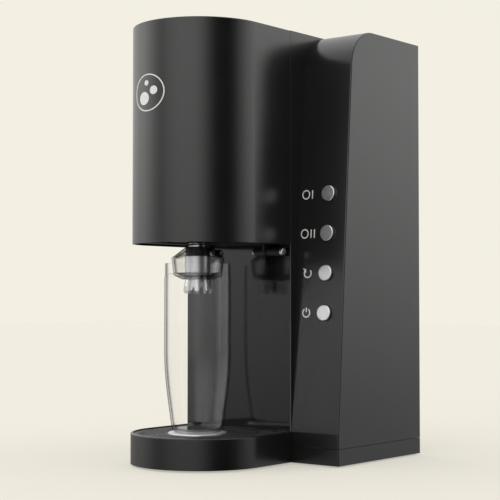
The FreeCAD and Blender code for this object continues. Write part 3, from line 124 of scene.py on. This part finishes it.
def bump(tree, shader, height, distance, strength, under=None):
    """Make a pattern stand up by a distance in metres, on top of another bump where one is given."""
    node = tree.nodes.new("ShaderNodeBump")
    node.inputs["Strength"].default_value = strength
    node.inputs["Distance"].default_value = distance
    tree.links.new(height, node.inputs["Height"])
    if under is not None:
        tree.links.new(under, node.inputs["Normal"])
    tree.links.new(node.outputs["Normal"], shader.inputs["Normal"])
    return node.outputs["Normal"]


def mix_shader(tree, factor, first, second):
    node = tree.nodes.new("ShaderNodeMixShader")
    tree.links.new(factor, node.inputs["Fac"])
    tree.links.new(first.outputs[0], node.inputs[1])
    tree.links.new(second.outputs[0], node.inputs[2])
    return node


def math_node(tree, operation, first, second=None):
    """One step of arithmetic on numbers or sockets."""
    node = tree.nodes.new("ShaderNodeMath")
    node.operation = operation
    for socket, value in zip(node.inputs, (first, second)):
        if value is None:
            continue
        if isinstance(value, (int, float)):
            socket.default_value = value
        else:
            tree.links.new(value, socket)
    return node.outputs["Value"]


# ---------------------------------------------------------------- kinds of material
CLOUD_SCALE = 14.0          # slow changes of shade and gloss on a moulded face
WAVE_SCALE = 22.0           # slow unevenness of a moulded face
WAVE_DEPTH = 0.06 * MM
PATCH_SCALE = 45.0          # shade of plain metal
TURNED_PATCH_SCALE = 60.0   # shade of turned metal
RIPPLE_SCALE = 60.0         # unevenness of a clear wall
RIPPLE_STRETCH = 0.35       # its ripples are longer upwards than across
SMEAR_SCALE = 18.0          # changes of gloss on a clear wall
RUBBER_GRAIN_SCALE = 900.0
RUBBER_GRAIN_DEPTH = 0.08 * MM
DUST_SCALE = 35.0
DUST_SHEEN = 0.08           # how much smoother rubber is where there is no dust
TRACK_SCALE = 90.0          # copper tracks of a circuit board
TRACK_DEPTH = 0.03 * MM
MASK_SCALE = 50.0           # gloss of the lacquer on a circuit board
SPECKLE_SCALE = 700.0       # grain of printed ink
SPECKLE_DEPTH = 0.02 * MM
INK_SHADE = 0.8             # an ink's darkest specks, as a share of its colour


def moulded_plastic(name, dark, light, rough_low, rough_high, grain_scale, grain_depth, specular):
    """Moulded plastic: fine grain, slow changes in gloss, and a faint uneven surface."""
    material, tree, shader = new_material(name)
    place = coordinates(tree)
    cloud = noise(tree, place, CLOUD_SCALE, detail=4.0)
    grain = noise(tree, place, grain_scale, detail=2.0)
    wave = noise(tree, place, WAVE_SCALE, detail=1.0)
    tree.links.new(tint(tree, spread(tree, cloud, 0, 1), dark, light), shader.inputs["Base Color"])
    tree.links.new(spread(tree, cloud, rough_low, rough_high), shader.inputs["Roughness"])
    shader.inputs["Specular IOR Level"].default_value = specular
    slow = bump(tree, shader, wave, WAVE_DEPTH, strength=0.6)
    bump(tree, shader, grain, grain_depth, strength=0.5, under=slow)
    return material


def metal(name, dark, light, rough_low, rough_high, stretch, scale, depth):
    """Metal with fine tool marks: the stretch squeezes the noise into lines."""
    material, tree, shader = new_material(name)
    marks = noise(tree, coordinates(tree, stretch), scale, rough=0.6)
    patches = noise(tree, coordinates(tree), PATCH_SCALE)
    shader.inputs["Metallic"].default_value = 1.0
    tree.links.new(tint(tree, spread(tree, patches, 0, 1), dark, light), shader.inputs["Base Color"])
    tree.links.new(spread(tree, marks, rough_low, rough_high), shader.inputs["Roughness"])
    bump(tree, shader, marks, depth, strength=0.6)
    return material


def turned_metal(name, dark, light, rough_low, rough_high, centre, scale, depth):
    """Metal faced on a lathe: fine rings about a centre, some three to a metre for each unit of scale."""
    material, tree, shader = new_material(name)
    source = tree.nodes.new("ShaderNodeTexCoord")
    shift = tree.nodes.new("ShaderNodeMapping")
    shift.inputs["Location"].default_value = [-c for c in centre]
    rings = tree.nodes.new("ShaderNodeTexWave")
    rings.wave_type = "RINGS"
    rings.rings_direction = "SPHERICAL"
    rings.inputs["Scale"].default_value = scale
    rings.inputs["Distortion"].default_value = 0.4
    rings.inputs["Detail"].default_value = 2.0
    tree.links.new(source.outputs["Object"], shift.inputs["Vector"])
    tree.links.new(shift.outputs["Vector"], rings.inputs["Vector"])
    cut = rings.outputs["Fac"]
    shader.inputs["Metallic"].default_value = 1.0
    patches = noise(tree, coordinates(tree), TURNED_PATCH_SCALE)
    tree.links.new(tint(tree, spread(tree, patches, 0, 1), dark, light), shader.inputs["Base Color"])
    tree.links.new(spread(tree, cut, rough_low, rough_high, 0, 1), shader.inputs["Roughness"])
    bump(tree, shader, cut, depth, strength=0.5)
    return material


def clear(name, face, edge, roughness, ior, ripple, rim_start):
    """Thin glass or clear plastic: see-through face on, darker edge on, mirroring on front faces only."""
    material = bpy.data.materials.new(name)
    material.use_nodes = True
    tree = material.node_tree
    tree.nodes.remove(tree.nodes["Principled BSDF"])
    wave = noise(tree, coordinates(tree, (1, 1, RIPPLE_STRETCH)), RIPPLE_SCALE, detail=1.0)
    smear = noise(tree, coordinates(tree), SMEAR_SCALE, detail=2.0)
    lean = tree.nodes.new("ShaderNodeLayerWeight")
    lean.inputs["Blend"].default_value = 0.5
    steep = spread(tree, lean.outputs["Facing"], 0.0, 1.0, rim_start, 1.0)
    see = tree.nodes.new("ShaderNodeBsdfTransparent")
    tree.links.new(tint(tree, steep, face, edge), see.inputs["Color"])
    mirror = tree.nodes.new("ShaderNodeBsdfGlossy")
    tree.links.new(spread(tree, smear, roughness * 0.5, roughness), mirror.inputs["Roughness"])
    bump(tree, mirror, wave, ripple, strength=0.3)
    share = tree.nodes.new("ShaderNodeFresnel")
    share.inputs["IOR"].default_value = ior
    side = tree.nodes.new("ShaderNodeNewGeometry")
    front = math_node(tree, "SUBTRACT", 1.0, side.outputs["Backfacing"])
    mix = mix_shader(tree, math_node(tree, "MULTIPLY", share.outputs["Fac"], front), see, mirror)
    tree.links.new(mix.outputs["Shader"], tree.nodes["Material Output"].inputs["Surface"])
    return material


def rubber(name, dark, light, roughness):
    """Rubber or soft tube: coarse grain and a little dust."""
    material, tree, shader = new_material(name)
    place = coordinates(tree)
    grain = noise(tree, place, RUBBER_GRAIN_SCALE)
    dust = noise(tree, place, DUST_SCALE, detail=4.0)
    tree.links.new(tint(tree, spread(tree, dust, 0, 1), dark, light), shader.inputs["Base Color"])
    tree.links.new(spread(tree, dust, roughness - DUST_SHEEN, roughness), shader.inputs["Roughness"])
    shader.inputs["Specular IOR Level"].default_value = 0.3
    bump(tree, shader, grain, RUBBER_GRAIN_DEPTH, strength=0.6)
    return material


def circuit_board(name):
    """Green lacquer over copper tracks, drawn by a brick pattern."""
    material, tree, shader = new_material(name)
    bricks = tree.nodes.new("ShaderNodeTexBrick")
    bricks.inputs["Scale"].default_value = TRACK_SCALE
    bricks.inputs["Mortar Size"].default_value = 0.03
    bricks.inputs["Color1"].default_value = (0.012, 0.085, 0.04, 1)
    bricks.inputs["Color2"].default_value = (0.015, 0.1, 0.05, 1)
    bricks.inputs["Mortar"].default_value = (0.03, 0.2, 0.09, 1)
    place = coordinates(tree)
    swap = tree.nodes.new("ShaderNodeVectorRotate")
    swap.rotation_type = "Y_AXIS"
    swap.inputs["Angle"].default_value = math.radians(90)
    tree.links.new(place, swap.inputs["Vector"])
    tree.links.new(swap.outputs["Vector"], bricks.inputs["Vector"])
    tree.links.new(bricks.outputs["Color"], shader.inputs["Base Color"])
    tree.links.new(spread(tree, noise(tree, place, MASK_SCALE), 0.25, 0.4), shader.inputs["Roughness"])
    bump(tree, shader, bricks.outputs["Fac"], TRACK_DEPTH, strength=0.5)
    return material


def printed_ink(name, colour):
    """Screen printed ink: slightly uneven, semi-matt."""
    material, tree, shader = new_material(name)
    speckle = noise(tree, coordinates(tree), SPECKLE_SCALE, detail=2.0)
    shade = tint(tree, spread(tree, speckle, 0, 1), [c * INK_SHADE for c in colour], colour)
    tree.links.new(shade, shader.inputs["Base Color"])
    tree.links.new(spread(tree, speckle, 0.4, 0.6), shader.inputs["Roughness"])
    bump(tree, shader, speckle, SPECKLE_DEPTH, strength=0.4)
    return material


# ---------------------------------------------------------------- the materials themselves
def grey(level):
    return (level, level, level)


MOULDED = {
    # dark, light, roughness low, high, grain scale, grain depth, specular
    "black_satin": (grey(0.0035), grey(0.005), 0.2, 0.25, 1400.0, 0.01 * MM, 0.5),
    "black_gloss": (grey(0.003), grey(0.005), 0.06, 0.1, 1400.0, 0.004 * MM, 0.5),
    "dark_plastic": (grey(0.006), grey(0.011), 0.4, 0.52, 900.0, 0.04 * MM, 0.4),
    # painted highlight: lighter grey for the seam bead, standing in for light caught by the seam's edges
    "seam_grey": (grey(0.035), grey(0.045), 0.45, 0.55, 900.0, 0.01 * MM, 0.3),
    "cylinder_paint": ((0.12, 0.14, 0.16), (0.15, 0.17, 0.19), 0.25, 0.35, 700.0, 0.03 * MM, 0.5),
    "component_black": (grey(0.01), grey(0.02), 0.45, 0.6, 800.0, 0.03 * MM, 0.5),
    "gear_white": ((0.6, 0.58, 0.53), (0.68, 0.66, 0.6), 0.3, 0.4, 800.0, 0.01 * MM, 0.5),
}
SOFT = {
    # dark, light, roughness
    "rubber_black": (grey(0.008), grey(0.02), 0.8),
    "hose_black": (grey(0.012), grey(0.02), 0.55),
}
CLEAR = {
    # face on, edge on, roughness, refractive index, ripple, where the edge's shade begins
    "seal_clear": (grey(0.99), grey(0.97), 0.3, 1.08, 0.02 * MM, 0.7),
    "bottle_glass": (grey(0.998), (0.2, 0.21, 0.22), 0.03, 1.46, 0.03 * MM, 0.6),
    "hood_clear": (grey(0.985), grey(0.02), 0.02, 2.1, 0.002 * MM, 0.5),
    "crown_clear": (grey(0.93), grey(0.25), 0.1, 3.4, 0.002 * MM, 0.55),
}
METALS = {
    # dark, light, roughness low, high, stretch of the marks, scale, depth
    "steel": ((0.46, 0.46, 0.47), (0.5, 0.5, 0.51), 0.28, 0.33, (1, 1, 1), 400.0, 0.001 * MM),
    "chrome": ((0.7, 0.7, 0.71), (0.78, 0.78, 0.79), 0.05, 0.1, (1, 1, 1), 300.0, 0.002 * MM),
    "brass": ((0.5, 0.34, 0.12), (0.6, 0.42, 0.17), 0.18, 0.3, (80, 4, 80), 8.0, 0.01 * MM),
    "block_alloy": ((0.4, 0.41, 0.42), (0.5, 0.5, 0.51), 0.25, 0.4, (4, 90, 90), 8.0, 0.02 * MM),
}
TURNED = {
    # dark, light, roughness low, high, centre of the rings, their scale and depth
    "drip_disc": (grey(0.72), grey(0.8), 0.3, 0.45, (BOTTLE_AXIS.x, BOTTLE_AXIS.y, 0.0), 1111.11, 0.01 * MM),
}
for label in BUTTONS:
    centre = tuple(node_centre("button_" + label))
    TURNED["button_" + label] = (grey(0.52), grey(0.6), 0.2, 0.32, centre, 2000.0, 0.005 * MM)

# nodes that don't wear the material named after them or after their slot
OWN_MATERIAL = {"nozzle_crown": "crown_clear", "drip_tray_disc": "drip_disc"}


def make_materials():
    made = {"board_green": circuit_board("board_green")}
    kinds = (
        (moulded_plastic, MOULDED),
        (rubber, SOFT),
        (clear, CLEAR),
        (metal, METALS),
        (turned_metal, TURNED),
    )
    for build, looks in kinds:
        for name, look in looks.items():
            made[name] = build(name, *look)
    return made


def dress(node, material):
    """Give every slot of a CAD node one material."""
    mesh = NODES[node].data
    if not mesh.materials:
        mesh.materials.append(material)
    for index in range(len(mesh.materials)):
        mesh.materials[index] = material


def dress_all(made):
    """Each node wears its own material where it has one, else that of its slot."""
    for entry in frame["record"]["subparts"]:
        node = entry["node"]
        slot = entry["material_slot"]
        for choice in (OWN_MATERIAL.get(node, node), slot):
            if choice in made:
                dress(node, made[choice])
                break


EDGE_WIDTHS = {
    # in millimetres
    "head_shell": 0.5,
    "base_shell": 0.5,
    "column_panel": 0.3,
    "drip_tray_tub": 0.4,
    "rear_door": 0.4,
    "nozzle_collar": 0.3,
    "hinge_bracket_left": 0.3,
    "hinge_bracket_right": 0.3,
}
EDGE_SEGMENTS = 2
EDGE_ANGLE = 40             # degrees; flatter edges stay as they are


def soften_edges():
    """Small rounds on the sharp outer edges, so that they catch a line of light."""
    for node, width in EDGE_WIDTHS.items():
        softened = NODES[node].modifiers.new("edge", "BEVEL")
        softened.width = width * MM
        softened.segments = EDGE_SEGMENTS
        softened.limit_method = "ANGLE"
        softened.angle_limit = math.radians(EDGE_ANGLE)


def add_mesh(name, corners, faces, material):
    mesh = bpy.data.meshes.new(name)
    mesh.from_pydata(corners, [], faces)
    mesh.materials.append(material)
    piece = bpy.data.objects.new(name, mesh)
    bpy.context.scene.collection.objects.link(piece)
    return piece


# ---------------------------------------------------------------- printed marks
INK_THICKNESS = 0.12 * MM
INK_STEP = 1.0 * MM         # longest step along a stroke
ARC_STEPS = 8               # fewest steps in an arc
RAY_START = 50 * MM         # how far outside the plane of the strokes the rays begin


def surface_of(node):
    mesh = NODES[node].data
    corners = [v.co.copy() for v in mesh.vertices]
    return BVHTree.FromPolygons(corners, [tuple(p.vertices) for p in mesh.polygons])


def arc(centre, radius, start, end):
    """Points along an arc, angles in degrees from straight up, clockwise."""
    count = max(ARC_STEPS, int(abs(math.radians(end - start)) * radius / INK_STEP) + 1)
    points = []
    for index in range(count + 1):
        turn = math.radians(start + (end - start) * index / count)
        points.append((centre[0] + radius * math.sin(turn), centre[1] + radius * math.cos(turn)))
    return points


def line(start, end):
    """Points along a straight line."""
    length = math.dist(start, end)
    count = max(1, int(length / INK_STEP) + 1)
    points = []
    for index in range(count + 1):
        u = start[0] + (end[0] - start[0]) * index / count
        v = start[1] + (end[1] - start[1]) * index / count
        points.append((u, v))
    return points


def dot(centre, radius):
    """A filled disc, as a closed stroke half as wide as the disc."""
    return arc(centre, radius / 2, 0, 360), radius


def ribbon(points, width):
    """Both edges of a stroke, by turns; a closed stroke runs on over its ends."""
    closed = math.dist(points[0], points[-1]) < INK_THICKNESS
    befores = [points[-2] if closed else points[0]] + points[:-1]
    afters = points[1:] + [points[1] if closed else points[-1]]
    edges = []
    for (u, v), before, after in zip(points, befores, afters):
        du, dv = after[0] - before[0], after[1] - before[1]
        size = math.hypot(du, dv)
        for side in (-0.5, 0.5):
            edges.append((u - dv / size * width * side, v + du / size * width * side))
    return edges


def printed(name, node, body, origin, across, up, outward, strokes, ink):
    """Lay strokes of ink on a node's surface; a stroke is (points, width) in the plane of across and up."""
    corners = []
    faces = []
    for points, width in strokes:
        first = len(corners)
        for u, v in ribbon(points, width):
            corners.append(origin + across * u + up * v)
        for low in range(first, len(corners) - 2, 2):
            faces.append((low, low + 2, low + 3, low + 1))
    skin = surface_of(node)
    placed = []
    for corner in corners:
        hit, _, _, _ = skin.ray_cast(corner + outward * RAY_START, -outward)
        placed.append(hit if hit is not None else corner)
    piece = add_mesh(name, placed, faces, ink)
    shell = piece.modifiers.new("ink", "SOLIDIFY")
    shell.thickness = 2 * INK_THICKNESS
    shell.offset = 0.0
    piece.visible_glossy = False
    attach(piece, body)


EMBLEM_AZIMUTH = -9.0
EMBLEM_Z = 0.3605
EMBLEM_RADIUS = 17.5 * MM
EMBLEM_LINE = 1.1 * MM
EMBLEM_STRETCH = 1.2        # wider than tall, as it wraps round the head
BIG_BUBBLE = 0.36           # share of the emblem's radius
EMBLEM_BUBBLES = (
    # across and up as shares of the emblem's radius, then size as a share of the big bubble
    (-0.26, -0.3, 1.0),
    (0.4, 0.1, 0.66),
    (-0.08, 0.54, 0.42),
)


def emblem(ink):
    """Generic mark on the head: three bubbles rising inside a ring."""
    turn = math.radians(EMBLEM_AZIMUTH)
    outward = Vector((math.sin(turn), -math.cos(turn), 0))
    across = Vector((math.cos(turn), math.sin(turn), 0)) * EMBLEM_STRETCH
    up = Vector((0, 0, 1))
    origin = HEAD_AXIS + outward * HEAD_RADIUS + up * EMBLEM_Z
    strokes = [(arc((0, 0), EMBLEM_RADIUS, 0, 360), EMBLEM_LINE)]
    for u, v, size in EMBLEM_BUBBLES:
        strokes.append(dot((EMBLEM_RADIUS * u, EMBLEM_RADIUS * v), EMBLEM_RADIUS * BIG_BUBBLE * size))
    printed("emblem", "head_shell", "housing", origin, across, up, outward, strokes, ink)


ICON_LINE = 1.15 * MM
ICON_RADIUS = 4.2 * MM
ICON_SHIFT = 22.5 * MM      # middle of the marks, left of the button
# places in a mark, as shares of ICON_RADIUS
LEVEL_BUBBLE = -1.3
LEVEL_BAR = 0.55
LEVEL_BAR_STEP = 0.95
BARB_LENGTH = 0.75
POWER_BAR = (0.15, 1.25)
# angles in a mark, in degrees clockwise from the top
ARROW_START = 45.0
ARROW_END = 325.0
BARB_SPREAD = 50.0
POWER_START = 35.0
POWER_END = 325.0


def level_strokes(level):
    """A bubble, then one upright bar for each level."""
    strokes = [(arc((LEVEL_BUBBLE * ICON_RADIUS, 0), ICON_RADIUS, 0, 360), ICON_LINE)]
    for bar in range(level):
        u = (LEVEL_BAR + LEVEL_BAR_STEP * bar) * ICON_RADIUS
        strokes.append((line((u, -ICON_RADIUS), (u, ICON_RADIUS)), ICON_LINE))
    return strokes


def reset_strokes():
    """Circular arrow with two barbs at its end."""
    end = math.radians(ARROW_END)
    tip = (ICON_RADIUS * math.sin(end), ICON_RADIUS * math.cos(end))
    strokes = [(arc((0, 0), ICON_RADIUS, ARROW_START, ARROW_END), ICON_LINE)]
    for side in (-BARB_SPREAD, BARB_SPREAD):
        back = end + math.pi + math.radians(side)
        u = tip[0] + BARB_LENGTH * ICON_RADIUS * math.cos(back)
        v = tip[1] - BARB_LENGTH * ICON_RADIUS * math.sin(back)
        strokes.append((line(tip, (u, v)), ICON_LINE))
    return strokes


def power_strokes():
    """Power sign: an open ring with a bar at its top."""
    low, high = (share * ICON_RADIUS for share in POWER_BAR)
    return [
        (arc((0, 0), ICON_RADIUS, POWER_START, POWER_END), ICON_LINE),
        (line((0, low), (0, high)), ICON_LINE),
    ]


def icons(ink):
    """Marks to the left of the buttons, on the leaning face."""
    drawn = {
        "level_one": level_strokes(1),
        "level_two": level_strokes(2),
        "reset": reset_strokes(),
        "power": power_strokes(),
    }
    axes = {j["name"]: Vector(j["axis"]) for j in frame["record"]["behaviour"]["joints"]}
    across = Vector((1, 0, 0))
    for label in BUTTONS:
        outward = -axes["press_" + label].normalized()
        up = outward.cross(across)
        origin = node_centre("button_" + label) - across * ICON_SHIFT
        strokes = drawn[label]
        printed("mark_" + label, "tower_shell", "housing", origin, across, up, outward, strokes, ink)


# ---------------------------------------------------------------- painted highlight along the seam between head and tower
SEAM_HALF = 0.3 * MM
SEAM_CREST = 0.6            # half width of its outer face, as a share of SEAM_HALF
SEAM_PROUD = 0.1 * MM
SEAM_DEPTH = 0.8 * MM


def seam_highlight_bead(material):
    """Thin bead in the joint between the head and the tower, up the right side and over the top; its lighter
    grey is a painted highlight standing in for the light that the seam's edges catch.
    """
    y = (HEAD_HIGH.y + TOWER_LOW.y) / 2
    right = HEAD_HIGH.x
    left = -right + 2 * HEAD_AXIS.x
    top = HEAD_HIGH.z - SEAM_PROUD
    crest = SEAM_HALF * SEAM_CREST
    section = ((-SEAM_HALF, -SEAM_DEPTH), (-crest, SEAM_PROUD), (crest, SEAM_PROUD), (SEAM_HALF, -SEAM_DEPTH))
    path = (
        (Vector((right, y, PANEL_LOW.z)), Vector((1, 0, 0))),
        (Vector((right, y, top)), Vector((1, 0, 1))),
        (Vector((left, y, top)), Vector((0, 0, 1))),
    )
    corners = []
    for place, out in path:
        for across, lift in section:
            rise = min(lift, 0.0) if out.z > 0 else lift
            corners.append(place + Vector((0, across, 0)) + out * rise)
    size = len(section)
    faces = []
    for step in range(len(path) - 1):
        for side in range(size - 1):
            first = step * size + side
            faces.append((first, first + 1, first + size + 1, first + size))
    piece = add_mesh("seam_highlight_bead", corners, faces, material)
    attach(piece, "housing")


# ---------------------------------------------------------------- stage, light and camera
BACKDROP = (0.896, 0.863, 0.768)
LAMP_COLOUR = (1.0, 0.995, 0.985)
STUDIO_RING = (
    # azimuth in degrees about the machine (0 = straight ahead of it, + = to its right), brightness
    (-180, 1.0), (-140, 0.85), (-112, 0.95), (-88, 1.5), (-69, 2.2), (-54, 2.1), (-40, 1.45),
    (-28, 1.1), (-15, 1.7), (5, 2.05), (30, 2.05), (42, 1.5), (54, 0.6), (65, 0.1),
    (84, 0.02), (96, 0.2), (108, 0.9), (122, 1.6), (140, 1.9), (160, 1.6), (180, 1.0),
)
RING_LOW = 0.30             # share of the ring's light well under the horizon
RING_HIGH = 1.06            # and a little above it
RING_FADED = 0.25           # and what is left of that overhead
SHEEN_TOP = 1.6             # brightness of the box overhead
# heights of a direction, -1 straight down to 1 straight up, between which each of them changes
CLIMB_BAND = (-0.12, 0.16)
FADE_BAND = (0.3, 0.7)
TOP_BAND = (0.4, 0.85)


def world():
    """Pale backdrop for the camera; a ring of soft cards and a top box for everything else."""
    studio = bpy.data.worlds.new("studio")
    studio.use_nodes = True
    tree = studio.node_tree
    tree.nodes.clear()
    direction = tree.nodes.new("ShaderNodeTexCoord")
    parts = tree.nodes.new("ShaderNodeSeparateXYZ")
    tree.links.new(direction.outputs["Generated"], parts.inputs["Vector"])
    height = parts.outputs["Z"]
    ahead = math_node(tree, "MULTIPLY", parts.outputs["Y"], -1.0)
    azimuth = math_node(tree, "ARCTAN2", parts.outputs["X"], ahead)
    share = spread(tree, azimuth, 0.0, 1.0, -math.pi, math.pi)
    ring = tree.nodes.new("ShaderNodeValToRGB")
    ring.color_ramp.interpolation = "EASE"
    peak = max(level for _, level in STUDIO_RING)
    stops = ring.color_ramp.elements
    while len(stops) < len(STUDIO_RING):
        stops.new(0.5)
    for stop, (turn, level) in zip(stops, STUDIO_RING):
        stop.position = (turn + 180) / 360
        stop.color = (*grey(level / peak), 1)
    tree.links.new(share, ring.inputs["Fac"])
    climb = spread(tree, height, RING_LOW * peak, RING_HIGH * peak, *CLIMB_BAND)
    around = math_node(tree, "MULTIPLY", ring.outputs["Color"], climb)
    fade = spread(tree, height, 1.0, RING_FADED, *FADE_BAND)
    above = spread(tree, height, 0.0, SHEEN_TOP, *TOP_BAND)
    total = math_node(tree, "ADD", math_node(tree, "MULTIPLY", around, fade), above)
    lamp = tree.nodes.new("ShaderNodeBackground")
    tree.links.new(total, lamp.inputs["Strength"])
    lamp.inputs["Color"].default_value = (*LAMP_COLOUR, 1)
    ray = tree.nodes.new("ShaderNodeLightPath")
    seen = tree.nodes.new("ShaderNodeBackground")
    seen.inputs["Color"].default_value = (*BACKDROP, 1)
    choose = mix_shader(tree, ray.outputs["Is Camera Ray"], lamp, seen)
    out = tree.nodes.new("ShaderNodeOutputWorld")
    tree.links.new(choose.outputs["Shader"], out.inputs["Surface"])
    bpy.context.scene.world = studio


FLOOR_ALBEDO = (0.28, 0.27, 0.24)
FLOOR_GLOW = 0.5            # share of the backdrop that the sheet shows of itself
FLOOR_HALF = 6.0
FLOOR_ROUGHNESS = 0.9


def floor():
    """Matt sheet under the machine, left out of reflections."""
    material, _, shader = new_material("floor")
    shader.inputs["Base Color"].default_value = (*FLOOR_ALBEDO, 1)
    shader.inputs["Roughness"].default_value = FLOOR_ROUGHNESS
    shader.inputs["Specular IOR Level"].default_value = 0.0
    shader.inputs["Emission Color"].default_value = (*BACKDROP, 1)
    shader.inputs["Emission Strength"].default_value = FLOOR_GLOW
    corners = [(x * FLOOR_HALF, y * FLOOR_HALF, 0) for x, y in ((-1, -1), (1, -1), (1, 1), (-1, 1))]
    sheet = add_mesh("floor", corners, [(0, 1, 2, 3)], material)
    sheet.visible_glossy = False
    sheet.visible_transmission = False


CAMERA_AZIMUTH = 38.53      # degrees to the machine's right of straight ahead
CAMERA_TILT = 2.04          # degrees the camera looks up
CAMERA_DISTANCE = 1.378
CAMERA_AIM = Vector((-0.0128, -0.0102, 0.2122))
CAMERA_LENS = 97.61         # millimetres, as is the sensor
CAMERA_SENSOR = 36.0
CAMERA_FAR = 50.0


def camera():
    data = bpy.data.cameras.new("camera")
    data.lens = CAMERA_LENS
    data.sensor_width = CAMERA_SENSOR
    data.clip_end = CAMERA_FAR
    eye = bpy.data.objects.new("camera", data)
    bpy.context.scene.collection.objects.link(eye)
    turn = math.radians(CAMERA_AZIMUTH)
    rise = math.radians(CAMERA_TILT)
    look = Vector((-math.sin(turn) * math.cos(rise), math.cos(turn) * math.cos(rise), math.sin(rise)))
    eye.location = CAMERA_AIM - look * CAMERA_DISTANCE
    eye.rotation_euler = look.to_track_quat("-Z", "Y").to_euler()
    bpy.context.scene.camera = eye


made = make_materials()
dress_all(made)
soften_edges()
ink = printed_ink("pale_ink", grey(0.62))
emblem(ink)
icons(ink)
# the seam bead carries a painted highlight: a lighter grey line along the joint
seam_highlight_bead(made["seam_grey"])
world()
floor()
camera()
bpy.context.scene.view_settings.view_transform = "Standard"
